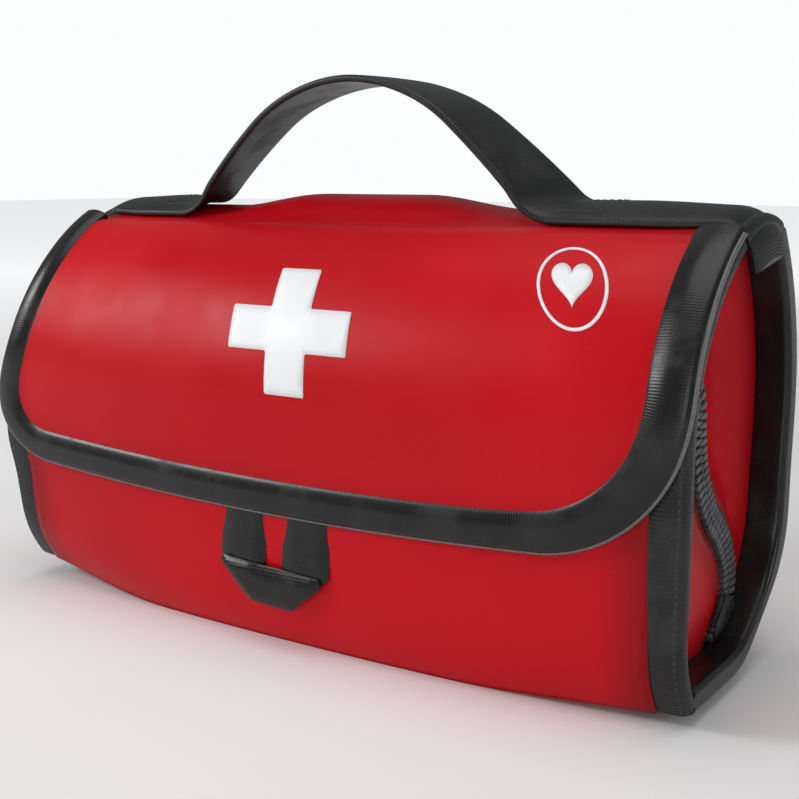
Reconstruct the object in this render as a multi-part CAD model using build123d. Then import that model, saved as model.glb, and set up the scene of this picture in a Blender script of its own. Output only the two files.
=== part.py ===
from build123d import *
from math import asin, atan2, cos, degrees, hypot, radians, sin, tan
import os

# Soft first aid bag: a zipped red body with a bound flap over its front, a webbing handle on
# top and the usual contents inside. Millimetres, +X along the length, front towards -Y, +Z up,
# origin at the middle of the bottom.

# Driving dimensions
GUSSET_X = 127.0          # outer face of each end gusset
SEAM_X = 138.0            # outer edge of the bound seams that stand out past the gussets
FLAP_X = 139.0            # half the flap's length
TOP_Z = 139.0             # height of the top front edge, where the flap is sewn on
TOP_FRONT_Y = -7.5        # where that edge lies, front to back
TOP_REAR = (28.0, 141.6)  # top rear edge (y, z)
FRONT_Y = -45.0           # upright part of the front
REAR_Y = 48.5             # rearmost point of the back
FABRIC = 2.5              # padded panels
FRONT_SEAM = 6.0          # bound front corners, front to back
REAR_SEAM = 8.0           # bound border round the back and bottom of each end
WEBBING = 1.8
FLAP_GAP = 1.4            # between the front and the inside of the flap
FLAP_FABRIC = 1.8
GAP = 0.4                 # half the slit along the zip

# Front outline: lower curve, upright, upper curve
UPRIGHT_LOW = 28.0
UPRIGHT_TOP = 80.0
DOOR_HINGE = (-37.0, 3.0)
DOOR_LOW = 4.2            # lower edge of the drop front
CORNER_LOW = REAR_SEAM + 0.6   # lower end of its bound corners
ZIP_Z = 99.0              # zip across the front, and top edge of the drop front
ZIP_BAND = 5.0            # from the zip's middle to the panel's edge

# Zip down each end gusset
ZIP_TOP_Y = -26.0
ZIP_CORNER = 14.0
ZIP_BEND_UPPER = 45.0
ZIP_BEND_LOWER = 35.0
ZIP_BEND_ANGLE = 52.0
ZIP_CURL = 14.0
ZIP_CURL_ANGLE = 60.0
TOOTH = 4.2               # width of each row of teeth
TOOTH_HEIGHT = 1.9

# Flap
FLAP_LOW = 46.0
FLAP_SAG = 6.0            # the lower edge hangs this much lower in the middle
FLAP_CORNER_LEFT = 30.0
FLAP_CORNER_RIGHT = 48.0
BINDING = 12.0            # visible width of the flap's binding
FLAP_BINDING_IN = 0.5
FLAP_BINDING_OUT = 3.7
FLAP_BACK = 2.5           # degrees of the upper curve between the flap's root and the top edge

# Cross and badge on the flap
CROSS_X, CROSS_Z = 1.5, 106.0
CROSS_SPAN, CROSS_ARM = 48.0, 16.0
CROSS_TILT = 0.83         # height seen from the front against the height along the sloping flap
BADGE_X, BADGE_Z, BADGE_R = 96.5, 124.0, 12.5
BADGE_TILT = 0.73

# Pull loop under the flap's lower edge
LOOP_X = -1.7
LOOP_WIDTH = 45.6
LOOP_GAP = 7.0
LOOP_TOP, LOOP_FOLD, LOOP_LOW = 44.6, 28.6, 15.6
LOOP_SIDE = 26.4          # foot of the straight sides, where the taper to the tip starts
LOOP_TIP = 17.0
LOOP_THICK = 1.8
LOOP_Y = -48.0

# Handle
HANDLE_X = -4.0
HANDLE_TOP = 189.0
HANDLE_R = 55.0
HANDLE_SLOPE = 43.0
HANDLE_FOOT_R = 12.0
HANDLE_BASE = 145.0
HANDLE_WIDTH = 28.0
HANDLE_THICK = 2.6
HANDLE_SPLIT = 149.6      # the part above this flops to the rear
STRAP_WIDTH = 29.0
CROWN = 4.0               # rise of the top panel between its two edges


def point_on(centre, radius, angle):
    return (centre[0] + radius * cos(radians(angle)), centre[1] + radius * sin(radians(angle)))


def arc_edge(centre, radius, start, end):
    """Arc in a flat (y, z) drawing, from one angle to another in degrees."""
    first = point_on(centre, radius, start)
    middle = point_on(centre, radius, (start + end) / 2)
    last = point_on(centre, radius, end)
    return ThreePointArc(first, middle, last)


def prism(face, low_x, high_x):
    """Solid between two x positions from a flat (y, z) face."""
    solid = extrude(Plane.YZ * face, amount=high_x - low_x, dir=(1, 0, 0))
    return Pos(low_x, 0, 0) * solid


def front_prism(face, low_y, high_y):
    """Solid between two y positions from a flat (x, z) face."""
    solid = extrude(Plane.XZ * face, amount=high_y - low_y, dir=(0, 1, 0))
    return Pos(0, low_y, 0) * solid


def box(low, high):
    size = [b - a for a, b in zip(low, high)]
    centre = [(a + b) / 2 for a, b in zip(low, high)]
    return Pos(*centre) * Box(*size)


def both_ends(make):
    """The same piece at the right end and mirrored at the left end."""
    right = make()
    return right, mirror(right, Plane.YZ)


# Front outline, worked out from the driving dimensions: each curve is tangent to the upright.
LOWER_RISE = UPRIGHT_LOW - 2.0
LOWER_RUN = DOOR_HINGE[0] - FRONT_Y
LOWER_R = (LOWER_RUN ** 2 + LOWER_RISE ** 2) / (2 * LOWER_RUN)
LOWER_C = (FRONT_Y + LOWER_R, UPRIGHT_LOW)
UPPER_RISE = TOP_Z - UPRIGHT_TOP
UPPER_RUN = TOP_FRONT_Y - FRONT_Y
UPPER_R = (UPPER_RUN ** 2 + UPPER_RISE ** 2) / (2 * UPPER_RUN)
UPPER_C = (FRONT_Y + UPPER_R, UPRIGHT_TOP)
UPPER_END = 180 - degrees(atan2(UPPER_RISE, UPPER_R - UPPER_RUN))


def front_run(outset, low_z, high_z, end=UPPER_END):
    """The front outline from low to high, moved out by outset (inwards if negative).

    A run that reaches the top edge stops square to the outline, at the angle end."""
    edges = []
    if low_z < UPRIGHT_LOW:
        radius = LOWER_R + outset
        start = 180 + degrees(asin((UPRIGHT_LOW - low_z) / radius))
        stop = 180 + degrees(asin(max(0.0, UPRIGHT_LOW - high_z) / radius))
        edges.append(arc_edge(LOWER_C, radius, start, stop))
    if low_z < UPRIGHT_TOP and high_z > UPRIGHT_LOW:
        straight_top = min(high_z, UPRIGHT_TOP)
        straight_low = max(low_z, UPRIGHT_LOW)
        edges.append(Line((FRONT_Y - outset, straight_low), (FRONT_Y - outset, straight_top)))
    if high_z > UPRIGHT_TOP:
        radius = UPPER_R + outset
        start = 180 - degrees(asin(max(0.0, low_z - UPRIGHT_TOP) / radius))
        stop = end
        if high_z < TOP_Z:
            stop = 180 - degrees(asin((high_z - UPRIGHT_TOP) / radius))
        edges.append(arc_edge(UPPER_C, radius, start, stop))
    return edges


def band(first, second):
    """Face between two runs that go the same way."""
    start = Line(second[0] @ 0, first[0] @ 0)
    end = Line(first[-1] @ 1, second[-1] @ 1)
    return make_face([start, *first, end, *second])


def front_band(inner, outer, low_z, high_z, end=UPPER_END):
    """Strip that follows the front outline between two outsets."""
    return band(front_run(outer, low_z, high_z, end), front_run(inner, low_z, high_z, end))


# Back outline: flat bottom, lower curve, long middle curve, upper curve to the top rear edge.
BACK_TURN = 65.0
UPPER_BACK_DROP = REAR_Y - TOP_REAR[0]


def back_run(outset, flat_end, low_radius, flat_start=None):
    """The back outline moved out by outset, with its bottom flat up to flat_end."""
    swing = sin(radians(BACK_TURN))
    middle_radius = (REAR_Y - flat_end - low_radius * swing) / (1 - swing)
    low_centre = (flat_end, low_radius)
    bend = point_on(low_centre, low_radius, BACK_TURN - 90)
    middle_centre = point_on(bend, -middle_radius, BACK_TURN - 90)
    rise = TOP_REAR[1] - middle_centre[1]
    upper_radius = (rise ** 2 + UPPER_BACK_DROP ** 2) / (2 * UPPER_BACK_DROP)
    upper_centre = (REAR_Y - upper_radius, middle_centre[1])
    upper_end = degrees(asin(rise / upper_radius))
    edges = []
    if flat_start is not None:
        edges.append(Line((flat_start, -outset), (flat_end, -outset)))
    edges.append(arc_edge(low_centre, low_radius + outset, -90, BACK_TURN - 90))
    edges.append(arc_edge(middle_centre, middle_radius + outset, BACK_TURN - 90, 0))
    edges.append(arc_edge(upper_centre, upper_radius + outset, 0, upper_end))
    return edges


MIDDLE_FLAT, MIDDLE_RADIUS = 12.0, 24.0   # back outline along the body
END_FLAT, END_RADIUS = -3.0, 42.0         # rounder outline of the seams at the two ends
BASE_FRONT = -36.0

# Top outline: one arc from the top front edge to the top rear edge.
TOP_CHORD = hypot(TOP_REAR[0] - TOP_FRONT_Y, TOP_REAR[1] - TOP_Z)
TOP_R = (TOP_CHORD ** 2 / 4 + CROWN ** 2) / (2 * CROWN)
TOP_TILT = degrees(atan2(TOP_REAR[1] - TOP_Z, TOP_REAR[0] - TOP_FRONT_Y))
TOP_HALF = degrees(asin(TOP_CHORD / 2 / TOP_R))
TOP_C = point_on(((TOP_REAR[0] + TOP_FRONT_Y) / 2, (TOP_REAR[1] + TOP_Z) / 2),
                 -(TOP_R - CROWN), 90 + TOP_TILT)
TOP_START = 90 + TOP_TILT + TOP_HALF
TOP_FINISH = 90 + TOP_TILT - TOP_HALF


def top_run(outset, start=TOP_START, finish=TOP_FINISH):
    return [arc_edge(TOP_C, TOP_R + outset, start, finish)]


# ---- Body ----

def base_panel():
    return box((-GUSSET_X + FABRIC, BASE_FRONT, 0), (GUSSET_X - FABRIC, MIDDLE_FLAT, FABRIC))


def back_panel():
    outer = back_run(0, MIDDLE_FLAT, MIDDLE_RADIUS)
    inner = back_run(-FABRIC, MIDDLE_FLAT, MIDDLE_RADIUS)
    return prism(band(outer, inner), -GUSSET_X + FABRIC, GUSSET_X - FABRIC)


def top_panel():
    """Top of the body, butted against the back panel."""
    layer = prism(band(top_run(0), top_run(-FABRIC)), -GUSSET_X + FABRIC, GUSSET_X - FABRIC)
    return layer - back_panel()


def upper_front():
    """Fixed strip of the front above the zip, covered by the flap."""
    face = front_band(-FABRIC, 0, ZIP_Z + ZIP_BAND, TOP_Z - 4)
    return prism(face, -GUSSET_X + FABRIC, GUSSET_X - FABRIC)


def end_outline():
    """Outline of a whole end wall, inside the bound seams."""
    front = front_run(-FRONT_SEAM, CORNER_LOW, TOP_Z)
    back = back_run(-REAR_SEAM, END_FLAT, END_RADIUS)
    top = Line(front[-1] @ 1, back[-1] @ 1)
    bottom = Line(back[0] @ 0, front[0] @ 0)
    return make_face([*front, top, *back, bottom])


CLEAR_FRONT, CLEAR_BELOW = FRONT_Y - 25.0, -20.0   # well outside the end wall


def zip_line():
    """Zip across the end wall, from beyond the front down to the bottom, as joined edges."""
    corner_centre = (ZIP_TOP_Y, ZIP_Z - ZIP_CORNER)
    corner_end = (ZIP_TOP_Y + ZIP_CORNER, ZIP_Z - ZIP_CORNER)
    upper_centre = (corner_end[0] + ZIP_BEND_UPPER, corner_end[1])
    bend = point_on(upper_centre, ZIP_BEND_UPPER, 180 + ZIP_BEND_ANGLE)
    lower_centre = point_on(bend, ZIP_BEND_LOWER, 180 + ZIP_BEND_ANGLE)
    curl_start = (lower_centre[0] + ZIP_BEND_LOWER, lower_centre[1])
    curl_centre = (curl_start[0] - ZIP_CURL, curl_start[1])
    curl_end = point_on(curl_centre, ZIP_CURL, -ZIP_CURL_ANGLE)
    tail = point_on(curl_end, -CLEAR_BELOW, -90 - ZIP_CURL_ANGLE)
    return [
        Line((CLEAR_FRONT, ZIP_Z), (ZIP_TOP_Y, ZIP_Z)),
        arc_edge(corner_centre, ZIP_CORNER, 90, 0),
        arc_edge(upper_centre, ZIP_BEND_UPPER, 180, 180 + ZIP_BEND_ANGLE),
        arc_edge(lower_centre, ZIP_BEND_LOWER, ZIP_BEND_ANGLE, 0),
        arc_edge(curl_centre, ZIP_CURL, 0, -ZIP_CURL_ANGLE),
        Line(curl_end, tail),
    ]


def door_side():
    """Everything on the door's side of the zip line, in the plane of an end wall."""
    edges = zip_line()
    tail = edges[-1] @ 1
    below = [Line(tail, (tail.X, CLEAR_BELOW)), Line((tail.X, CLEAR_BELOW), (CLEAR_FRONT, CLEAR_BELOW)),
             Line((CLEAR_FRONT, CLEAR_BELOW), (CLEAR_FRONT, ZIP_Z))]
    return make_face([*edges, *below])


def end_plate(face):
    return both_ends(lambda: prism(face, GUSSET_X - FABRIC, GUSSET_X))


def gussets():
    return end_plate(end_outline() - offset(door_side(), GAP))


def cheeks():
    return end_plate(end_outline() & offset(door_side(), -GAP))


def end_teeth(near, far):
    """Row of teeth beside the zip line on the end walls, between two distances from it."""
    face = offset(door_side(), max(near, far)) - offset(door_side(), min(near, far))
    return both_ends(lambda: prism(end_outline() & face, GUSSET_X, GUSSET_X + TOOTH_HEIGHT))


TEETH_X = GUSSET_X - 9.0  # end of the straight zip across the front
TAPE = 0.8


def front_teeth(low_z, high_z):
    face = front_band(-FABRIC - TOOTH_HEIGHT, -FABRIC, low_z, high_z)
    return prism(face, -TEETH_X, TEETH_X)


def front_tape(low_z, high_z):
    face = front_band(-FABRIC - TOOTH_HEIGHT - TAPE, -FABRIC - TOOTH_HEIGHT, low_z, high_z)
    return prism(face, -TEETH_X, TEETH_X)


FRONT_SLIT = 0.8          # half the slit between the two front rows of teeth


def body_teeth():
    return Compound([front_teeth(ZIP_Z + FRONT_SLIT, ZIP_Z + FRONT_SLIT + TOOTH),
                     *end_teeth(GAP, GAP + TOOTH)])


def door_teeth():
    return Compound([front_teeth(ZIP_Z - FRONT_SLIT - TOOTH, ZIP_Z - FRONT_SLIT),
                     *end_teeth(-GAP, -GAP - TOOTH)])


def rear_binding_runs():
    outer = back_run(0, END_FLAT, END_RADIUS, BASE_FRONT)
    inner = back_run(-REAR_SEAM, END_FLAT, END_RADIUS, BASE_FRONT)
    return outer, inner


def rear_bindings():
    """Bound seam round the back and along the bottom of each end."""
    return both_ends(lambda: prism(band(*rear_binding_runs()), GUSSET_X - FABRIC, SEAM_X))


def upper_bindings():
    face = front_band(-FRONT_SEAM, 0, ZIP_Z + 2 * GAP, TOP_Z)
    return both_ends(lambda: prism(face, GUSSET_X - FABRIC, SEAM_X))


def front_bindings():
    face = front_band(-FRONT_SEAM, 0, CORNER_LOW, ZIP_Z - GAP)
    return both_ends(lambda: prism(face, GUSSET_X - FABRIC, SEAM_X))


def top_straps():
    """Webbing sewn along the top from each end of the bag to the handle's foot."""
    width_angle = degrees(STRAP_WIDTH / TOP_R)
    finish = TOP_START - width_angle
    face = band(top_run(WEBBING, TOP_START, finish), top_run(0, TOP_START, finish))
    right = prism(face, HANDLE_X + FOOT_REACH - STRAP_LAP, SEAM_X)
    left = prism(face, -SEAM_X, HANDLE_X - FOOT_REACH + STRAP_LAP)
    return right, left


def top_corners():
    """Turned-in end of the top panel between each end wall and the strap."""
    face = band(top_run(0), top_run(-FABRIC)) - band(*rear_binding_runs())
    return both_ends(lambda: prism(face, GUSSET_X - FABRIC, SEAM_X))


TAB_THICK = 1.6


def zip_tabs():
    """Short webbing tab that closes the foot of the zip at each end."""
    near = GUSSET_X + TOOTH_HEIGHT + GAP
    face = Polygon((4, 9.4), (13, 13), (20, 19.5), (12, 22), (4, 14), align=None)
    return both_ends(lambda: prism(face, near, near + TAB_THICK))


# ---- Drop front ----

def front_panel():
    face = front_band(-FABRIC, 0, DOOR_LOW, ZIP_Z - ZIP_BAND)
    return prism(face, -GUSSET_X + FABRIC, GUSSET_X - FABRIC)


FASTENER_HALF = 50.0      # half the length of the hook and loop strips
FASTENER_WIDTH = 16.0
LOOP_Z, LOOP_PILE = 58.0, 0.5
HOOK_Z, HOOK_PILE = 62.0, 0.6


def loop_strip():
    """Loop half of the flap's hook and loop fastener, on the outside of the front."""
    return prism(front_band(0, LOOP_PILE, LOOP_Z, LOOP_Z + FASTENER_WIDTH), -FASTENER_HALF, FASTENER_HALF)


DOOR_POCKET_HALF = 100.0
DOOR_POCKET_LOW, DOOR_POCKET_TOP, DOOR_POCKET_FOOT = 14.0, 70.0, 16.0
DOOR_POCKET_ROOM, DOOR_MESH = 3.2, 0.8
CARD_WIDTH, CARD_PITCH, CARD_GAP = 48.0, 66.0, 0.4
CARD_LOW, CARD_TOP = 20.0, 76.0


def door_pocket():
    """Mesh pocket sewn inside the drop front, with its hem."""
    inside = -FABRIC - DOOR_POCKET_ROOM
    mesh = front_band(inside - DOOR_MESH, inside, DOOR_POCKET_LOW, DOOR_POCKET_TOP)
    foot = front_band(inside, -FABRIC, DOOR_POCKET_LOW, DOOR_POCKET_FOOT)
    return prism(mesh, -DOOR_POCKET_HALF, DOOR_POCKET_HALF) + prism(foot, -DOOR_POCKET_HALF, DOOR_POCKET_HALF)


def plaster_cards():
    """Three cards of plasters that stand in the door's pocket."""
    face = front_band(-FABRIC - DOOR_POCKET_ROOM + CARD_GAP, -FABRIC - CARD_GAP, CARD_LOW, CARD_TOP)
    card = prism(face, -CARD_WIDTH / 2, CARD_WIDTH / 2)
    return Compound([Pos(step * CARD_PITCH, 0, 0) * card for step in (-1, 0, 1)])


# ---- Flap ----

CLEAR_TOP = TOP_Z + 20.0  # above the whole body


def flap_outline(inset=0.0):
    """Outline of the flap seen from the front: square at the top, rounded at the bottom."""
    left = (-FLAP_X, FLAP_LOW + FLAP_SAG)
    right = (FLAP_X, FLAP_LOW + FLAP_SAG)
    edges = [Line((-FLAP_X, CLEAR_TOP), left), ThreePointArc(left, (0, FLAP_LOW), right),
             Line(right, (FLAP_X, CLEAR_TOP)), Line((FLAP_X, CLEAR_TOP), (-FLAP_X, CLEAR_TOP))]
    face = make_face(edges)
    low = face.vertices().sort_by(Axis.Y)[:2].sort_by(Axis.X)
    face = fillet(low[0], FLAP_CORNER_LEFT)
    low = face.vertices().sort_by(Axis.Y)
    corner = [v for v in low if v.X > FLAP_X - 1e-6 and v.Y < TOP_Z]
    face = fillet(corner[0], FLAP_CORNER_RIGHT)
    if inset:
        face = offset(face, -inset)
    return face


def flap_layer(inner, outer):
    """Flap-shaped layer between two outsets from the front, before its outline is cut."""
    face = front_band(inner, outer, UPRIGHT_LOW + 4, TOP_Z, UPPER_END + FLAP_BACK)
    return prism(face, -FLAP_X - 5, FLAP_X + 5)


def cut_to(layer, outline):
    return layer & front_prism(outline, CLEAR_FRONT, -CLEAR_FRONT)


def flap_panel():
    return cut_to(flap_layer(FLAP_GAP, FLAP_GAP + FLAP_FABRIC), flap_outline(1.0))


def flap_binding():
    """Folded tape round the flap's two sides and lower edge, gripping the panel's edge."""
    ring = flap_outline() - flap_outline(BINDING)
    return cut_to(flap_layer(FLAP_BINDING_IN, FLAP_BINDING_OUT), ring) - flap_panel()


def hook_strip():
    """Hook half of the flap's fastener, on the inside of the flap."""
    face = front_band(FLAP_GAP - HOOK_PILE, FLAP_GAP, HOOK_Z, HOOK_Z + FASTENER_WIDTH)
    return prism(face, -FASTENER_HALF, FASTENER_HALF)


PRINT = 0.5               # thickness of the cross and the badge


def on_flap(outline):
    surface = FLAP_GAP + FLAP_FABRIC
    return cut_to(flap_layer(surface, surface + PRINT), outline)


def cross_patch():
    level = Rectangle(CROSS_SPAN, CROSS_ARM * CROSS_TILT)
    upright = Rectangle(CROSS_ARM, CROSS_SPAN * CROSS_TILT)
    return on_flap(Pos(CROSS_X, CROSS_Z) * (level + upright))


BADGE_RING = 1.8          # width of the badge's ring
HEART = BADGE_R * 0.27    # half the distance between the heart's two lobes


def badge():
    """Plain ring with a small heart in it."""
    ring = Circle(BADGE_R) - Circle(BADGE_R - BADGE_RING)
    lobe = Circle(HEART * 1.25)
    lobes = Pos(-HEART, HEART) * lobe + Pos(HEART, HEART) * lobe
    point = Polygon((-2.1 * HEART, 0.6 * HEART), (0, -2.2 * HEART), (2.1 * HEART, 0.6 * HEART), align=None)
    emblem = scale(ring + lobes + point, by=(1, BADGE_TILT, 1))
    return on_flap(Pos(BADGE_X, BADGE_Z) * emblem)


def pull_loop():
    """Ribbon that goes down, folds to a blunt point and comes back up, with a slit between."""
    half = LOOP_WIDTH / 2
    tip = LOOP_TIP / 2
    outline = Polygon((-half, LOOP_TOP), (half, LOOP_TOP), (half, LOOP_SIDE), (tip, LOOP_LOW),
                      (-tip, LOOP_LOW), (-half, LOOP_SIDE), align=None)
    slit_centre = (LOOP_TOP + LOOP_FOLD) / 2
    slit = Pos(0, slit_centre) * Rectangle(LOOP_GAP, LOOP_TOP - LOOP_FOLD + 0.01)
    face = Pos(LOOP_X, 0) * (outline - slit)
    return front_prism(face, LOOP_Y, LOOP_Y + LOOP_THICK)


# ---- Handle ----

# Middle line of one half of the handle: round top, straight leg, foot that turns out flat.
TOP_CENTRE = (0.0, HANDLE_TOP - HANDLE_THICK / 2 - HANDLE_R)
SHOULDER = point_on(TOP_CENTRE, HANDLE_R, 90 - HANDLE_SLOPE)
FOOT_DROP = HANDLE_FOOT_R * (1 - cos(radians(HANDLE_SLOPE)))
KNEE_Z = HANDLE_BASE + HANDLE_THICK / 2 + FOOT_DROP
KNEE = (SHOULDER[0] + (SHOULDER[1] - KNEE_Z) / tan(radians(HANDLE_SLOPE)), KNEE_Z)
FOOT_CENTRE = point_on(KNEE, HANDLE_FOOT_R, 90 - HANDLE_SLOPE)
FOOT_LENGTH = 10.0
FOOT_REACH = FOOT_CENTRE[0] + FOOT_LENGTH
STRAP_LAP = 12.0          # the strap starts this far under the foot


def handle_side(outset):
    """Half of the handle's outline on one side of its middle line."""
    top = arc_edge(TOP_CENTRE, HANDLE_R + outset, 90, 90 - HANDLE_SLOPE)
    foot = arc_edge(FOOT_CENTRE, HANDLE_FOOT_R - outset, 270 - HANDLE_SLOPE, 270)
    leg = Line(top @ 1, foot @ 0)
    end = Line(foot @ 1, foot @ 1 + Vector(FOOT_LENGTH, 0))
    return [top, leg, foot, end]


def handle_arch():
    half = band(handle_side(HANDLE_THICK / 2), handle_side(-HANDLE_THICK / 2))
    right = front_prism(half, 0, HANDLE_WIDTH)
    whole = right + mirror(right, Plane.YZ)
    return Pos(HANDLE_X, TOP_FRONT_Y + 0.5, 0) * whole


def handle_webbing():
    keep = box((-SEAM_X, CLEAR_FRONT, HANDLE_SPLIT), (SEAM_X, -CLEAR_FRONT, HANDLE_TOP + 1))
    return handle_arch() & keep


def handle_feet():
    """Foot of the handle at each side, which lies on the straps."""
    keep = box((-SEAM_X, CLEAR_FRONT, 0), (SEAM_X, -CLEAR_FRONT, HANDLE_SPLIT - GAP / 2))
    strap_skin = prism(band(top_run(WEBBING), top_run(-FOOT_LENGTH)), -SEAM_X, SEAM_X)
    low = handle_arch() & keep
    return low - strap_skin


# ---- Zip slider ----

SLIDER_X = 96.0
SLIDER_LENGTH = 11.0
SLIDER_PLATE, SLIDER_CLEAR = 0.7, 0.35
PULL_LENGTH, PULL_THICK, PULL_STANDOFF = 24.0, 0.9, 1.4
PULL_LOW, PULL_TOP, PULL_HOLE = -1.2, 4.2, 1.4   # heights from the zip, and the hole's radius


def zip_slider():
    """Slider round the upper row of teeth, open towards the drop front."""
    low, high = ZIP_Z + 0.1, ZIP_Z + FRONT_SLIT + TOOTH - 0.6
    skin = -FABRIC + SLIDER_CLEAR
    outer = front_band(skin, skin + SLIDER_PLATE, low, high)
    inner = front_band(-FABRIC - TOOTH_HEIGHT, skin, low, low + GAP)
    left, right = SLIDER_X, SLIDER_X + SLIDER_LENGTH
    return prism(outer, left, right) + prism(inner, left, right)


def zip_pull():
    """Tab that lies along the zip, hinged on the slider's front."""
    near = -FABRIC + PULL_STANDOFF
    plate = front_band(near, near + PULL_THICK, ZIP_Z + PULL_LOW, ZIP_Z + PULL_TOP)
    tip_x = SLIDER_X - PULL_LENGTH
    tab = prism(plate, tip_x, SLIDER_X + 3.0)
    hole = Pos(tip_x + 5, ZIP_Z + (PULL_LOW + PULL_TOP) / 2) * Circle(PULL_HOLE)
    return tab - front_prism(hole, CLEAR_FRONT, 0)


# ---- Contents ----

# Organiser board: a stiff divider that stands in front of the back panel
BOARD_Y = 24.0            # its front face
BOARD = 2.0
BOARD_HALF = GUSSET_X - 15.0
BOARD_LOW, BOARD_TOP = 24.0, 130.0
ON_BOARD = BOARD_Y - 0.4  # nearest that the instruments come to the board


def organiser_board():
    return box((-BOARD_HALF, BOARD_Y, BOARD_LOW), (BOARD_HALF, BOARD_Y + BOARD, BOARD_TOP))


# Scissors, drawn about their pivot with the points up
SCISSORS_X, SCISSORS_Z = -78.0, 84.0
SCISSORS_Y = BOARD_Y - 3.4
BLADE = 1.5
BLADE_GAP = 0.1
PIVOT_R = 1.8
PIVOT_HEAD_R, PIVOT_HEAD = 3.2, 1.0
PIVOT_FIT = 0.05
RING_X, RING_Z = -11.5, -40.0
RING_WIDTH, RING_HEIGHT = 9.5, 13.0   # half sizes of the finger ring
RING_BAR = 3.1


def scissor_half(near_y):
    """One half of small scissors, pointing up: blade, shank and finger ring."""
    blade = Polygon((-4.5, -6), (4.0, -6), (2.5, 20), (0.6, 46), (-1.4, 20), align=None)
    shank = Polygon((-3.5, -4), (-11.0, -30), (-6.0, -32), (3.5, -4), align=None)
    hole = Ellipse(RING_WIDTH - RING_BAR, RING_HEIGHT - RING_BAR)
    ring = Pos(RING_X, RING_Z) * (Ellipse(RING_WIDTH, RING_HEIGHT) - hole)
    half = front_prism(blade, 0, BLADE) + front_prism(shank, 0, BLADE) + front_prism(ring, 0, BLADE)
    half -= front_prism(Circle(PIVOT_R + PIVOT_FIT), -BLADE, 2 * BLADE)
    return Pos(0, near_y, 0) * half


def scissor_back():
    return Pos(SCISSORS_X, 0, SCISSORS_Z) * scissor_half(SCISSORS_Y)


def scissor_front():
    front_y = SCISSORS_Y - BLADE - BLADE_GAP
    return Pos(SCISSORS_X, 0, SCISSORS_Z) * mirror(scissor_half(front_y), Plane.YZ)


def scissor_pivot():
    near = SCISSORS_Y - BLADE - 2 * BLADE_GAP
    shaft = front_prism(Circle(PIVOT_R), near - PIVOT_HEAD / 2, SCISSORS_Y + BLADE)
    head = front_prism(Circle(PIVOT_HEAD_R), near - PIVOT_HEAD, near)
    return Pos(SCISSORS_X, 0, SCISSORS_Z) * (shaft + head)


# Tweezers and thermometer, side by side in the elastic
TWEEZERS_X, TWEEZERS_LOW, TWEEZERS_LENGTH = -30.0, 26.0, 90.0
TWEEZERS_WIDTH, TWEEZERS_TIP, TWEEZERS_THICK = 10.0, 1.8, 4.6
THERMOMETER_X, THERMOMETER_TOP = -10.0, 117.0
CASE_LENGTH, CASE_WIDTH, CASE_R = 66.0, 11.0, 4.0
PROBE_LOW, PROBE_LENGTH, PROBE_WIDTH, PROBE_R = 29.0, 30.0, 5.0, 2.4
THERMOMETER_THICK = 6.6


def tweezers():
    top, half, tip = TWEEZERS_LENGTH, TWEEZERS_WIDTH / 2, TWEEZERS_TIP / 2
    face = Polygon((-half, top), (half, top), (tip, 0), (-tip, 0), align=None)
    return front_prism(Pos(TWEEZERS_X, TWEEZERS_LOW) * face, ON_BOARD - TWEEZERS_THICK, ON_BOARD)


def thermometer():
    case_z = THERMOMETER_TOP - CASE_LENGTH / 2
    case = Pos(THERMOMETER_X, case_z) * RectangleRounded(CASE_WIDTH, CASE_LENGTH, CASE_R)
    probe_z = PROBE_LOW + PROBE_LENGTH / 2
    probe = Pos(THERMOMETER_X, probe_z) * RectangleRounded(PROBE_WIDTH, PROBE_LENGTH, PROBE_R)
    return front_prism(case + probe, ON_BOARD - THERMOMETER_THICK, ON_BOARD)


# Elastic and mesh pocket, both open at the back where they are sewn to the board
ELASTIC_LOW, ELASTIC_TOP = (-40.0, BOARD_Y - 9.0, 88.0), (2.0, BOARD_Y, 100.0)
ELASTIC = 1.5
POCKET_LOW, POCKET_TOP = (12.0, BOARD_Y - 13.0, 30.0), (108.0, BOARD_Y, 88.0)
MESH = 1.0
DRESSING_X, DRESSING_PITCH = 18.0, 42.0
DRESSING_WIDTH, DRESSING_THICK, DRESSING_HEIGHT = 38.0, 9.0, 73.0


def elastic_loops():
    """Elastic band sewn to the board that holds the tweezers and the thermometer."""
    low, top = ELASTIC_LOW, ELASTIC_TOP
    room = box((low[0] + ELASTIC, low[1] + ELASTIC, low[2] - 1), (top[0] - ELASTIC, top[1] + 1, top[2] + 1))
    return box(low, top) - room


def mesh_pocket():
    """Mesh pocket on the board for the dressings, open at the top."""
    low, top = POCKET_LOW, POCKET_TOP
    room = box((low[0] + MESH, low[1] + MESH, low[2] + MESH), (top[0] - MESH, top[1] + 1, top[2] + 1))
    return box(low, top) - room


def dressing(number):
    low = (DRESSING_X + DRESSING_PITCH * number, BOARD_Y - 1 - DRESSING_THICK, POCKET_LOW[2] + 3)
    size = (DRESSING_WIDTH, DRESSING_THICK, DRESSING_HEIGHT)
    return box(low, [a + b for a, b in zip(low, size)])


# Rolls that lie along the bottom of the bag
REST = FABRIC + 0.3       # height of the surface that they rest on
GAUZE_R, GAUZE_LENGTH, GAUZE_X, GAUZE_Y = 18.0, 60.0, -112.0, -14.0
GAUZE_PITCH = GAUZE_LENGTH + 4.0
TAPE_R, TAPE_WIDTH, TAPE_X, TAPE_Y = 22.0, 25.0, 18.0, -12.0
TAPE_BORE, CORE_R, CORE_BORE = 12.0, 11.9, 10.5
COHESIVE_R, COHESIVE_LENGTH, COHESIVE_X, COHESIVE_Y = 20.0, 50.0, 49.0, -13.0


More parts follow.
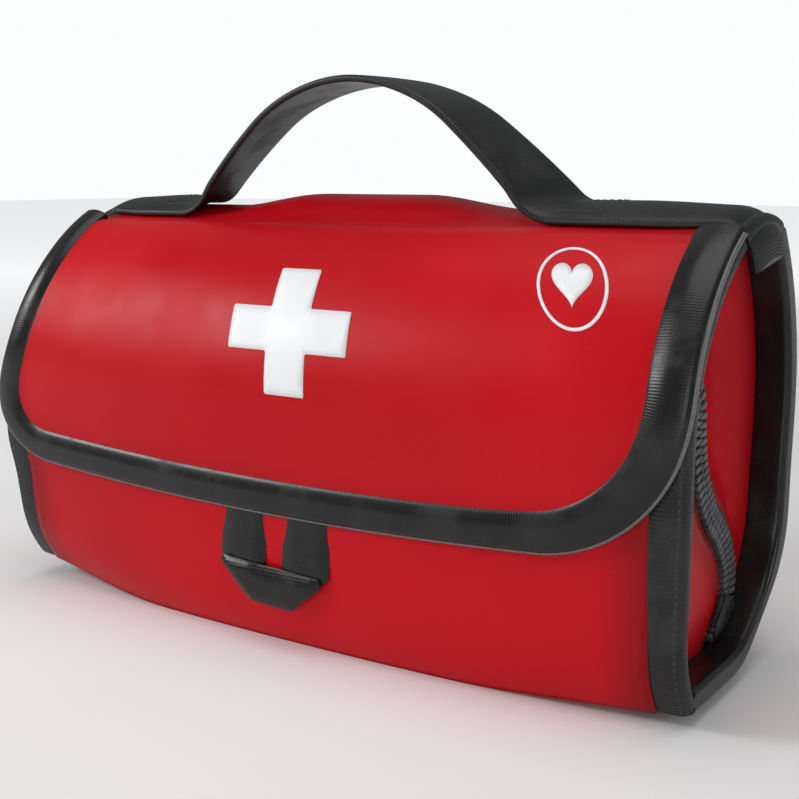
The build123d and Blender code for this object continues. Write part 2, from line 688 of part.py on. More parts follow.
def roll_along_x(low_x, length, radius, y, z, bore=0.0):
    roll = Cylinder(radius, length, rotation=(0, 90, 0))
    if bore:
        roll = roll - Cylinder(bore, length + 2, rotation=(0, 90, 0))
    return Pos(low_x + length / 2, y, z) * roll


def gauze_roll(number):
    low_x = GAUZE_X + number * GAUZE_PITCH
    return roll_along_x(low_x, GAUZE_LENGTH, GAUZE_R, GAUZE_Y, REST + GAUZE_R)


def tape_roll():
    return roll_along_x(TAPE_X, TAPE_WIDTH, TAPE_R, TAPE_Y, REST + TAPE_R, bore=TAPE_BORE)


def tape_core():
    return roll_along_x(TAPE_X, TAPE_WIDTH, CORE_R, TAPE_Y, REST + TAPE_R, bore=CORE_BORE)


def cohesive_bandage():
    return roll_along_x(COHESIVE_X, COHESIVE_LENGTH, COHESIVE_R, COHESIVE_Y, REST + COHESIVE_R)


# Packets that lie on the rolls: length, depth, height and edge radius, and the near low corner
TRIANGULAR_SIZE, TRIANGULAR_AT, TRIANGULAR_R = (88.0, 40.0, 14.0), (-110.0, -32.0, 41.0), 4.0
COLD_SIZE, COLD_AT, COLD_R = (66.0, 42.0, 16.0), (-18.0, -33.0, 48.0), 5.0
BLANKET_SIZE, BLANKET_AT, BLANKET_R = (60.0, 40.0, 18.0), (52.0, -32.0, 44.0), 4.0
GLOVE_SIZE, GLOVE_AT, GLOVE_R = (80.0, 36.0, 8.0), (-110.0, -30.0, 56.0), 3.0
WIPE_SIZE, WIPE_AT, WIPE_R = (12.0, 9.0, 35.0), (102.0, -32.0, 5.0), 1.5
WIPE_PITCH, WIPE_COUNT = 10.0, 3


def packet(size, at, radius):
    return fillet(box(at, [a + b for a, b in zip(at, size)]).edges(), radius)


def triangular_bandage():
    return packet(TRIANGULAR_SIZE, TRIANGULAR_AT, TRIANGULAR_R)


def cold_pack():
    return packet(COLD_SIZE, COLD_AT, COLD_R)


def rescue_blanket():
    return packet(BLANKET_SIZE, BLANKET_AT, BLANKET_R)


def glove_pack():
    return packet(GLOVE_SIZE, GLOVE_AT, GLOVE_R)


def wipes():
    first = packet(WIPE_SIZE, WIPE_AT, WIPE_R)
    return Compound([Pos(0, WIPE_PITCH * number, 0) * first for number in range(WIPE_COUNT)])


def write(nodes):
    os.makedirs("parts", exist_ok=True)
    for name, shape in nodes.items():
        export_step(shape, f"parts/{name}.step")


def pair(name, shapes):
    return {f"{name}_right": shapes[0], f"{name}_left": shapes[1]}


def body_nodes():
    return {
        "base_panel": base_panel(),
        "back_panel": back_panel(),
        "top_panel": top_panel(),
        "upper_front": upper_front(),
        **pair("gusset", gussets()),
        **pair("rear_binding", rear_bindings()),
        **pair("upper_binding", upper_bindings()),
        **pair("top_corner", top_corners()),
        **pair("zip_tab", zip_tabs()),
        **pair("top_strap", top_straps()),
        "handle_feet": handle_feet(),
        "body_zip_teeth": body_teeth(),
        "body_zip_tape": front_tape(ZIP_Z + 1.0, ZIP_Z + ZIP_BAND + 4),
    }


def moving_nodes():
    return {
        "front_panel": front_panel(),
        **pair("cheek", cheeks()),
        **pair("front_binding", front_bindings()),
        "door_zip_teeth": door_teeth(),
        "door_zip_tape": front_tape(ZIP_Z - ZIP_BAND - 4, ZIP_Z - 1.0),
        "loop_strip": loop_strip(),
        "door_pocket": door_pocket(),
        "plaster_cards": plaster_cards(),
        "flap_panel": flap_panel(),
        "flap_binding": flap_binding(),
        "hook_strip": hook_strip(),
        "cross_patch": cross_patch(),
        "badge": badge(),
        "pull_loop": pull_loop(),
        "handle_webbing": handle_webbing(),
        "zip_slider": zip_slider(),
        "zip_pull": zip_pull(),
        "scissor_front": scissor_front(),
    }


def content_nodes():
    nodes = {
        "organiser_board": organiser_board(),
        "scissor_back": scissor_back(),
        "scissor_pivot": scissor_pivot(),
        "tweezers": tweezers(),
        "thermometer": thermometer(),
        "elastic_loops": elastic_loops(),
        "mesh_pocket": mesh_pocket(),
        "tape_roll": tape_roll(),
        "tape_core": tape_core(),
        "cohesive_bandage": cohesive_bandage(),
        "triangular_bandage": triangular_bandage(),
        "cold_pack": cold_pack(),
        "rescue_blanket": rescue_blanket(),
        "glove_pack": glove_pack(),
        "wipes": wipes(),
    }
    for number in range(2):
        nodes[f"gauze_roll_{number + 1}"] = gauze_roll(number)
        nodes[f"dressing_{number + 1}"] = dressing(number)
    return nodes


write({**body_nodes(), **moving_nodes(), **content_nodes()})
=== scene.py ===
from math import asin, atan2, cos, degrees, hypot, pi, radians, sin, tan

import bmesh
import bpy
import numpy as np
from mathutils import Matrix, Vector
from mathutils.bvhtree import BVHTree
from mathutils.geometry import delaunay_2d_cdt


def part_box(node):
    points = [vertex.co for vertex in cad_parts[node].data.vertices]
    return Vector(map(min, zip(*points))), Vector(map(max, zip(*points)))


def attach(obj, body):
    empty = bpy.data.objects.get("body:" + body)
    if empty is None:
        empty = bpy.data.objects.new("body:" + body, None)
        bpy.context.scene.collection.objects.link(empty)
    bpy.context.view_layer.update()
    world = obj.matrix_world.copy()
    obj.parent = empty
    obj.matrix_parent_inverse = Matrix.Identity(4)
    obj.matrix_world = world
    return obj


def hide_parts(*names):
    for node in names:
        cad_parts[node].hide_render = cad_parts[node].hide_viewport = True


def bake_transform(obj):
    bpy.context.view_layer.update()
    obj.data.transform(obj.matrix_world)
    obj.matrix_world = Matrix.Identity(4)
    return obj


# Looks of the soft first aid bag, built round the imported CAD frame. Metres, +X along the bag,
# front towards -Y, +Z up. Outlines in an end view are (y, z).

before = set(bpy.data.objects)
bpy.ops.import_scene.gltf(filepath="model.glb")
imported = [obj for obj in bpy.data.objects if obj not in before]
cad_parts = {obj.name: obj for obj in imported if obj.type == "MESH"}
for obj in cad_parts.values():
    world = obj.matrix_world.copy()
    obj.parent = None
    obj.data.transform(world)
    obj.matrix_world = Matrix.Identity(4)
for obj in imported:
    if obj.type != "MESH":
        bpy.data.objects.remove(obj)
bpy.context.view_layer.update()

MM = 0.001

# ---- Sizes taken from the frame ----
GUSSET_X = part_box("gusset_right")[1].x
SEAM_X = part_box("rear_binding_right")[1].x
FLAP_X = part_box("flap_binding")[1].x
FLAP_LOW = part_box("flap_binding")[0].z
FRONT_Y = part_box("front_panel")[0].y
REAR_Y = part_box("back_panel")[1].y
TOP_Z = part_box("upper_binding_right")[1].z
TOP_REAR_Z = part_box("rear_binding_right")[1].z
BASE_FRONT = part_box("rear_binding_right")[0].y
STRAP_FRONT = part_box("handle_feet")[0].y
HANDLE_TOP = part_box("handle_webbing")[1].z
HANDLE_X = (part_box("handle_webbing")[0].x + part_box("handle_webbing")[1].x) / 2
HANDLE_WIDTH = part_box("handle_webbing")[1].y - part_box("handle_webbing")[0].y
LOOP_LOW, LOOP_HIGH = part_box("pull_loop")

# ---- Shapes of the outlines, as in the CAD ----
TOP_FRONT_Y = -7.5 * MM
TOP_REAR = (28.0 * MM, TOP_REAR_Z)
UPRIGHT_LOW = 28.0 * MM
UPRIGHT_TOP = 80.0 * MM
HINGE_Y = -37.0 * MM
MIDDLE_FLAT, MIDDLE_RADIUS = 12.0 * MM, 24.0 * MM
END_FLAT, END_RADIUS = -3.0 * MM, 42.0 * MM
BACK_TURN = 65.0
CROWN = 4.0 * MM
ZIP_Z = 99.0 * MM
ZIP_BAND = 5.0 * MM
FLAP_GAP = 1.4 * MM
FLAP_SAG = 6.0 * MM
FLAP_CORNER_LEFT, FLAP_CORNER_RIGHT = 30.0 * MM, 48.0 * MM
BINDING = 12.0 * MM

# ---- How far fabric swells from the CAD's plain shapes ----
BELLY = 7.5 * MM          # bottom edge of the front, middle against ends
BACK_SWELL = 3.5 * MM
FLAP_SWELL = 2.0 * MM
TOP_SWELL = 4.5 * MM
BELLY_LOW_SHARE = 0.62    # this share of the belly is gone at BELLY_KNEE, the rest at the top
BELLY_KNEE = 50 * MM
BELLY_DEPTH = 34 * MM     # this far in front of the middle the fabric takes the whole belly

# ---- How the soft ends lean ----
PINCH_TOP, PINCH_FOOT, PINCH_WAIST = 0.088, 0.032, 0.02     # shares of x by which the left end moves
LIFT_LEFT, LIFT_RIGHT = 7.5 * MM, 3.5 * MM                  # of each end's bottom edge
REAR_BULGE, REAR_TUCK = 5.0 * MM, 12.0 * MM                 # of the right rear corner


# ================ Outlines ================

def arc(centre, radius, start, end, step=1.5 * MM):
    count = max(4, int(abs(radians(end - start)) * radius / step) + 1)
    angles = np.radians(np.linspace(start, end, count))
    return np.stack([centre[0] + radius * np.cos(angles), centre[1] + radius * np.sin(angles)], 1)


def line(first, last, step=1.5 * MM):
    count = max(2, int(hypot(last[0] - first[0], last[1] - first[1]) / step) + 1)
    return np.linspace(first, last, count)


def join(*runs):
    """One run of points from several that meet end to end."""
    return np.concatenate([runs[0]] + [run[1:] for run in runs[1:]])


def point_on(centre, radius, angle):
    return (centre[0] + radius * cos(radians(angle)), centre[1] + radius * sin(radians(angle)))


def smooth(value, low, high):
    """0 below low, 1 above high, with a soft change between them."""
    t = np.clip((np.asarray(value, float) - low) / (high - low), 0, 1)
    return t * t * (3 - 2 * t)


def unit(vectors):
    return vectors / np.maximum(np.linalg.norm(vectors, axis=-1, keepdims=True), 1e-12)


def distances(path):
    """Distance along a path at each of its points."""
    steps = np.linalg.norm(np.diff(path, axis=0), axis=1)
    return np.concatenate([[0.0], np.cumsum(steps)])


class Outline:
    """Smooth flat line that can be read at any distance along it and moved out by an outset."""

    def __init__(self, points, outward):
        self.points = np.asarray(points, float)
        self.s = distances(self.points)
        self.length = self.s[-1]
        tangent = unit(np.gradient(self.points, self.s, axis=0))
        self.normals = outward * np.stack([-tangent[:, 1], tangent[:, 0]], 1)

    def normal(self, s):
        return unit(np.stack([np.interp(s, self.s, self.normals[:, k]) for k in (0, 1)], -1))

    def at(self, s, outset=0.0):
        base = np.stack([np.interp(s, self.s, self.points[:, k]) for k in (0, 1)], -1)
        return base + self.normal(s) * np.asarray(outset)[..., None]

    def where_z(self, z):
        """Distance along the line at a height; the line has to rise all the way."""
        return np.interp(z, self.points[:, 1], self.s)


def front_points():
    lower_run, lower_rise = HINGE_Y - FRONT_Y, UPRIGHT_LOW - 2.0 * MM
    lower_r = (lower_run ** 2 + lower_rise ** 2) / (2 * lower_run)
    upper_run, upper_rise = TOP_FRONT_Y - FRONT_Y, TOP_Z - UPRIGHT_TOP
    upper_r = (upper_run ** 2 + upper_rise ** 2) / (2 * upper_run)
    upper_end = 180 - degrees(atan2(upper_rise, upper_r - upper_run))
    start = 180 + degrees(asin(UPRIGHT_LOW / lower_r))
    return join(
        arc((FRONT_Y + lower_r, UPRIGHT_LOW), lower_r, start, 180),
        line((FRONT_Y, UPRIGHT_LOW), (FRONT_Y, UPRIGHT_TOP)),
        arc((FRONT_Y + upper_r, UPRIGHT_TOP), upper_r, 180, upper_end))


def back_points(flat_end, low_radius, flat_start):
    swing = sin(radians(BACK_TURN))
    middle_radius = (REAR_Y - flat_end - low_radius * swing) / (1 - swing)
    low_centre = (flat_end, low_radius)
    bend = point_on(low_centre, low_radius, BACK_TURN - 90)
    middle_centre = point_on(bend, -middle_radius, BACK_TURN - 90)
    rise = TOP_REAR[1] - middle_centre[1]
    drop = REAR_Y - TOP_REAR[0]
    upper_radius = (rise ** 2 + drop ** 2) / (2 * drop)
    upper_centre = (REAR_Y - upper_radius, middle_centre[1])
    upper_end = degrees(asin(rise / upper_radius))
    return join(
        line((flat_start, 0.0), (flat_end, 0.0)),
        arc(low_centre, low_radius, -90, BACK_TURN - 90),
        arc(middle_centre, middle_radius, BACK_TURN - 90, 0),
        arc(upper_centre, upper_radius, 0, upper_end))


def top_points():
    chord = hypot(TOP_REAR[0] - TOP_FRONT_Y, TOP_REAR[1] - TOP_Z)
    radius = (chord ** 2 / 4 + CROWN ** 2) / (2 * CROWN)
    tilt = degrees(atan2(TOP_REAR[1] - TOP_Z, TOP_REAR[0] - TOP_FRONT_Y))
    half = degrees(asin(chord / 2 / radius))
    middle = ((TOP_REAR[0] + TOP_FRONT_Y) / 2, (TOP_REAR[1] + TOP_Z) / 2)
    centre = point_on(middle, -(radius - CROWN), 90 + tilt)
    return arc(centre, radius, 90 + tilt + half, 90 + tilt - half)


FRONT = Outline(front_points(), 1)
TOP = Outline(top_points(), 1)
COVER = Outline(join(front_points(), top_points()), 1)      # up the front and over the top
BACK_END = Outline(back_points(END_FLAT, END_RADIUS, BASE_FRONT), -1)
BACK_MIDDLE = Outline(back_points(MIDDLE_FLAT, MIDDLE_RADIUS, BASE_FRONT), -1)


def zip_points():
    """The zip down an end wall, from the front to the bottom."""
    corner, bend_upper, bend_lower, curl = 14 * MM, 45 * MM, 35 * MM, 14 * MM
    bend_angle, curl_angle = 52.0, 60.0
    top_y = -26 * MM
    corner_end = (top_y + corner, ZIP_Z - corner)
    upper_centre = (corner_end[0] + bend_upper, corner_end[1])
    bend = point_on(upper_centre, bend_upper, 180 + bend_angle)
    lower_centre = point_on(bend, bend_lower, 180 + bend_angle)
    curl_centre = (lower_centre[0] + bend_lower - curl, lower_centre[1])
    curl_end = point_on(curl_centre, curl, -curl_angle)
    tail = point_on(curl_end, 9 * MM, -90 - curl_angle)
    return join(
        line((-46 * MM, ZIP_Z), (top_y, ZIP_Z)),
        arc((top_y, ZIP_Z - corner), corner, 90, 0),
        arc(upper_centre, bend_upper, 180, 180 + bend_angle),
        arc(lower_centre, bend_lower, bend_angle, 0),
        arc(curl_centre, curl, 0, -curl_angle),
        line(curl_end, tail))


ZIP = Outline(zip_points(), 1)      # outset positive towards the body, negative towards the door


def flap_edge(inset=0.0, top=TOP_Z, step=1.5 * MM):
    """Outline of the flap (x, z): down the left side, along the sagging edge, up the right side."""
    sag_r = (FLAP_X ** 2 + FLAP_SAG ** 2) / (2 * FLAP_SAG)
    sag_z = FLAP_LOW + sag_r

    def corner_centre(side, radius):
        x = side * (FLAP_X - radius)
        return (x, sag_z - (((sag_r - radius) ** 2 - x ** 2) ** 0.5))

    left = corner_centre(-1, FLAP_CORNER_LEFT)
    right = corner_centre(1, FLAP_CORNER_RIGHT)
    left_turn = degrees(atan2(left[1] - sag_z, left[0])) + 360
    right_turn = degrees(atan2(right[1] - sag_z, right[0])) + 360
    side = FLAP_X - inset
    return join(
        line((-side, top), (-side, left[1]), step),
        arc(left, FLAP_CORNER_LEFT - inset, 180, left_turn, step),
        arc((0.0, sag_z), sag_r - inset, left_turn, right_turn, step),
        arc(right, FLAP_CORNER_RIGHT - inset, right_turn, 360, step),
        line((side, right[1]), (side, top), step))


def settle(points):
    """Soft fabric's own shape: the front bows forward between its two ends, most at the bottom."""
    points = np.array(points, float)
    x, y, z = points[..., 0], points[..., 1], points[..., 2]
    across = 1 - np.clip(np.abs(x) / SEAM_X, 0, 1) ** 2
    low_share = BELLY_LOW_SHARE * smooth(z, 0.0, BELLY_KNEE)
    fall = 1 - low_share - (1 - BELLY_LOW_SHARE) * smooth(z, BELLY_KNEE, TOP_Z)
    forward = smooth(-y, -TOP_FRONT_Y, BELLY_DEPTH)
    points[..., 1] = y - BELLY * across * fall * forward
    return points


def lean(points):
    """Lean of the soft ends: the left one is drawn in towards its top and bottom, both lift their
    bottom edges, and the right rear corner bulges above a bottom that is tucked in."""
    points = np.array(points, float)
    x, z = points[:, 0], points[:, 2]
    top = PINCH_TOP * smooth(z, 52 * MM, TOP_Z)
    foot = PINCH_FOOT * (1 - smooth(z, 18 * MM, 58 * MM))
    waist = PINCH_WAIST * smooth(z, 40 * MM, 60 * MM) * (1 - smooth(z, 60 * MM, 100 * MM))
    points[:, 0] = x * (1 - (top + foot - waist) * smooth(-x, 40 * MM, FLAP_X))
    lift = np.where(x < 0, LIFT_LEFT, LIFT_RIGHT) * smooth(np.abs(x), 60 * MM, SEAM_X)
    points[:, 2] = z + lift * (1 - smooth(z, 0.0, 45 * MM))
    corner = smooth(x, 100 * MM, SEAM_X) * smooth(points[:, 1], 5 * MM, 40 * MM)
    bulge = REAR_BULGE * np.exp(-((z - 38 * MM) / (18 * MM)) ** 2)
    points[:, 1] += corner * (bulge - REAR_TUCK * (1 - smooth(z, 0.0, 30 * MM)))
    return points


def in_space(x, yz):
    """Points (or directions) in space from x and the (y, z) pairs of an end view."""
    yz = np.asarray(yz, float)
    return np.stack([np.broadcast_to(np.asarray(x, float), yz.shape[:-1]), yz[..., 0], yz[..., 1]], -1)


def same(direction, count):
    """One direction, repeated for each of count points."""
    return np.tile(np.array(direction, float), (count, 1))


def corners_of(low_u, low_v, high_u, high_v):
    """Four corners of a flat rectangle, anticlockwise."""
    return [(low_u, low_v), (high_u, low_v), (high_u, high_v), (low_u, high_v)]


def on_front(x, s, outset, outline=FRONT):
    """Points in space over the front (or another outline), settled."""
    return settle(in_space(x, outline.at(s, outset)))


# ================ Mesh tools ================

def make(name, points, faces, attributes=None, sharp=35.0):
    """Mesh object, smooth except across edges sharper than the angle."""
    mesh = bpy.data.meshes.new(name)
    mesh.from_pydata([tuple(map(float, p)) for p in points], [], [list(map(int, f)) for f in faces])
    for key, values in (attributes or {}).items():
        layer = mesh.attributes.new(key, "FLOAT", "POINT")
        layer.data.foreach_set("value", np.asarray(values, np.float32))
    mesh.validate()
    mesh.shade_smooth()
    mesh.set_sharp_from_angle(angle=radians(sharp))
    piece = bpy.data.objects.new(name, mesh)
    bpy.context.scene.collection.objects.link(piece)
    return piece


def settle_modifiers(piece):
    """Replaces the mesh with what its modifiers make of it."""
    bpy.context.view_layer.update()
    shown = piece.evaluated_get(bpy.context.evaluated_depsgraph_get())
    mesh = bpy.data.meshes.new_from_object(shown)
    piece.modifiers.clear()
    old = piece.data
    piece.data = mesh
    bpy.data.meshes.remove(old)
    return piece


def coordinates(piece):
    values = np.zeros(len(piece.data.vertices) * 3)
    piece.data.vertices.foreach_get("co", values)
    return values.reshape(-1, 3)


def set_coordinates(piece, values):
    piece.data.vertices.foreach_set("co", np.asarray(values, np.float32).ravel())
    piece.data.update()


def mend(piece, weld=0.0):
    """Drop loose points, join doubles if asked, and turn every face outwards."""
    fix = bmesh.new()
    fix.from_mesh(piece.data)
    if weld:
        bmesh.ops.remove_doubles(fix, verts=fix.verts, dist=weld)
    bmesh.ops.delete(fix, geom=[v for v in fix.verts if not v.link_faces], context="VERTS")
    bmesh.ops.recalc_face_normals(fix, faces=fix.faces)
    fix.to_mesh(piece.data)
    fix.free()
    return piece


def turn_to(piece, axis, side):
    """Turns a sheet over, if most of its faces look away from one side of an axis."""
    if sum(polygon.normal[axis] for polygon in piece.data.polygons) * side < 0:
        piece.data.flip_normals()


def grid_faces(rows, columns, closed=False):
    """Quads between the rows and columns of a grid of points, joined round if it is closed."""
    faces = []
    last = columns if closed else columns - 1
    for i in range(rows - 1):
        for j in range(last):
            k = (j + 1) % columns
            faces.append((i * columns + j, i * columns + k, (i + 1) * columns + k, (i + 1) * columns + j))
    return faces


def rim_distance(points, rim):
    """Distance from each flat point to a closed outline."""
    start, end = rim, np.roll(rim, -1, axis=0)
    run = end - start
    size = np.maximum((run ** 2).sum(1), 1e-18)
    offset = points[:, None, :] - start[None]
    share = np.clip((offset * run).sum(2) / size, 0, 1)
    gap = offset - share[..., None] * run
    return np.sqrt((gap ** 2).sum(2)).min(1)


def inside(points, rim):
    """Whether each flat point is inside a closed outline."""
    x, y = points[:, 0:1], points[:, 1:2]
    x0, y0 = rim[:, 0], rim[:, 1]
    x1, y1 = np.roll(x0, -1), np.roll(y0, -1)
    spans = (y0 > y) != (y1 > y)
    cross = x0 + (y - y0) * (x1 - x0) / np.where(y1 == y0, 1e-12, y1 - y0)
    return ((spans & (x < cross)).sum(1) % 2) == 1


def fill(rim, spacing):
    """Even triangles inside a closed flat outline, with each point's distance from it."""
    rim = np.asarray(rim, float)
    low, high = rim.min(0), rim.max(0)
    xs = np.arange(low[0] + spacing / 2, high[0], spacing)
    ys = np.arange(low[1] + spacing / 2, high[1], spacing)
    grid = np.stack(np.meshgrid(xs, ys), -1).reshape(-1, 2)
    grid = grid[inside(grid, rim)]
    grid = grid[rim_distance(grid, rim) > spacing * 0.55]
    points = np.concatenate([rim, grid])
    edges = [(i, (i + 1) % len(rim)) for i in range(len(rim))]
    flat = [Vector(p / MM) for p in points]
    found = delaunay_2d_cdt(flat, edges, [], 1, 1e-5)
    out = np.array([(p.x, p.y) for p in found[0]]) * MM
    distance = rim_distance(out, rim)
    return out, [tuple(f) for f in found[2]], distance


def thicken(piece, thickness, offset=-1.0, inner=None, subdivide=0):
    """Gives a sheet its thickness. The inside takes the second material."""
    solid = piece.modifiers.new("thickness", "SOLIDIFY")
    solid.thickness = thickness
    solid.offset = offset
    solid.use_even_offset = True
    if inner is not None:
        piece.data.materials.append(inner)
        solid.material_offset = len(piece.data.materials) - 1
    if subdivide:
        finer = piece.modifiers.new("finer", "SUBSURF")
        finer.levels = finer.render_levels = subdivide
    return settle_modifiers(piece)


def billow(piece, pinned, pressure, limit, frames=20):
    """Cloth simulation of a sheet held along its seams, with no point moved beyond a limit."""
    start = coordinates(piece)
    held = piece.vertex_groups.new(name="held")
    held.add([int(i) for i in pinned], 1.0, "REPLACE")
    cloth = piece.modifiers.new("cloth", "CLOTH")
    cloth.settings.vertex_group_mass = "held"
    cloth.settings.quality = 6
    cloth.settings.mass = 0.15
    cloth.settings.use_pressure = True
    cloth.settings.uniform_pressure_force = pressure
    cloth.settings.effector_weights.gravity = 0
    cloth.point_cache.frame_start = 1
    cloth.point_cache.frame_end = frames
    for number in range(1, frames + 1):
        bpy.context.scene.frame_set(number)
    shown = piece.evaluated_get(bpy.context.evaluated_depsgraph_get())
    moved = np.zeros(len(start) * 3)
    shown.data.vertices.foreach_get("co", moved)
    move = moved.reshape(-1, 3) - start
    size = np.linalg.norm(move, axis=1, keepdims=True)
    move *= np.minimum(1, limit / np.maximum(size, 1e-9))
    piece.modifiers.remove(cloth)
    piece.vertex_groups.clear()
    set_coordinates(piece, start + move)
    bpy.context.scene.frame_set(1)
    return piece


def section(width, thick, radius, steps=4, crown=0.0):
    """Closed outline of a flat tape (across, out) with rounded corners and a slight crown."""
    radius = min(radius, thick / 2, width / 2)
    points = []
    for cx, cy, start in ((1, 1, 0), (-1, 1, 90), (-1, -1, 180), (1, -1, 270)):
        centre = (cx * (width / 2 - radius), cy * (thick / 2 - radius))
        for k in range(steps + 1):
            points.append(point_on(centre, radius, start + 90 * k / steps))
    dense = []
    for first, last in zip(points, points[1:] + points[:1]):
        parts = max(1, int(hypot(last[0] - first[0], last[1] - first[1]) / (2 * MM)))
        for k in range(parts):
            dense.append([first[i] + (last[i] - first[i]) * k / parts for i in (0, 1)])
    dense = np.array(dense)
    swell = crown * (1 - (2 * dense[:, 0] / width) ** 2)
    dense[:, 1] += np.where(dense[:, 1] > 0, swell, 0)
    return dense


def sweep(name, centres, across, out, shape, scale=None):
    """Tape or cord of one cross-section along a path. Keeps each point's place along and across."""
    centres, across, out = (np.asarray(a, float) for a in (centres, across, out))
    rows, columns = len(centres), len(shape)
    scale = np.ones((rows, 2)) if scale is None else np.asarray(scale, float)
    a = shape[None, :, 0] * scale[:, 0:1]
    b = shape[None, :, 1] * scale[:, 1:2]
    points = centres[:, None] + a[..., None] * across[:, None] + b[..., None] * out[:, None]
    faces = grid_faces(rows, columns, closed=True)
    faces.append(tuple(range(columns))[::-1])
    faces.append(tuple(range((rows - 1) * columns, rows * columns)))
    attributes = {"along": np.repeat(distances(centres), columns), "across": np.tile(shape[:, 0], rows)}
    return mend(make(name, points.reshape(-1, 3), faces, attributes, sharp=50))


def circle(radius, sides):
    """Closed round outline for a cord."""
    angles = np.linspace(0, 2 * pi, sides, endpoint=False)
    return np.stack([np.cos(angles), np.sin(angles)], 1) * radius


def path_frame(path, out):
    """Unit vectors across a path and out from it, square to the way it runs."""
    tangent = unit(np.gradient(path, axis=0))
    across = unit(np.cross(tangent, out))
    return across, unit(np.cross(across, tangent))


def even(path, step):
    """The same path with points at even distances."""
    s = distances(path)
    count = max(2, int(round(s[-1] / step)) + 1)
    wanted = np.linspace(0, s[-1], count)
    return np.stack([np.interp(wanted, s, path[:, k]) for k in range(path.shape[1])], 1)


def many(name, shape_points, shape_faces, places):
    """Copies of one small shape at (origin, x axis, y axis, z axis) places, as one mesh."""
    points, faces = [], []
    for origin, ax, ay, az in places:
        base = len(points)
        matrix = np.stack([ax, ay, az])
        points.extend(shape_points @ matrix + origin)
        faces.extend([tuple(i + base for i in f) for f in shape_faces])
    return mend(make(name, points, faces, sharp=50))


def bead(length, width, height, rings=5, sides=6):
    """Small rounded grain along x that rests on z = 0, such as one stitch of thread."""
    points = []
    for i in range(rings):
        t = -1 + 2 * i / (rings - 1)
        r = max(0.12, (1 - t * t) ** 0.5)
        for j in range(sides):
            angle = 2 * pi * j / sides
            points.append((t * length / 2, r * cos(angle) * width / 2, r * sin(angle) * height))
    faces = grid_faces(rings, sides, closed=True)
    faces.append(tuple(range(sides)))
    faces.append(tuple(range((rings - 1) * sides, rings * sides))[::-1])
    return np.array(points), [f[::-1] for f in faces]


def stitches(name, path, out, pitch=3.0 * MM, length=2.1 * MM, thick=0.55 * MM):
    """A row of stitches along a path."""
    path_even = even(np.asarray(path, float), pitch)
    outs = np.stack([np.interp(np.linspace(0, 1, len(path_even)), np.linspace(0, 1, len(out)),
                               np.asarray(out)[:, k]) for k in range(3)], 1)
    across, outs = path_frame(path_even, unit(outs))
    tangent = np.cross(outs, across)
    points, faces = bead(length, thick, thick * 0.55)
    places = [(path_even[i], tangent[i], across[i], outs[i]) for i in range(1, len(path_even) - 1)]
    return many(name, points, faces, places)


def dress(piece, body, surface, replaces=()):
    """Leans a piece, then gives its material, moving body and the CAD nodes it replaces."""
    set_coordinates(piece, lean(coordinates(piece)))
    if surface is not None:
        if len(piece.data.materials):
            piece.data.materials[0] = surface
        else:
            piece.data.materials.append(surface)
    if body is not None:
        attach(piece, body)
    if replaces:
        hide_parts(*replaces)
    return piece


# ================ Materials ================

def srgb(red, green, blue):
    """Linear colour from an 8-bit screen colour."""
    values = [c / 255 for c in (red, green, blue)]
    return [c / 12.92 if c <= 0.04045 else ((c + 0.055) / 1.055) ** 2.4 for c in values] + [1.0]


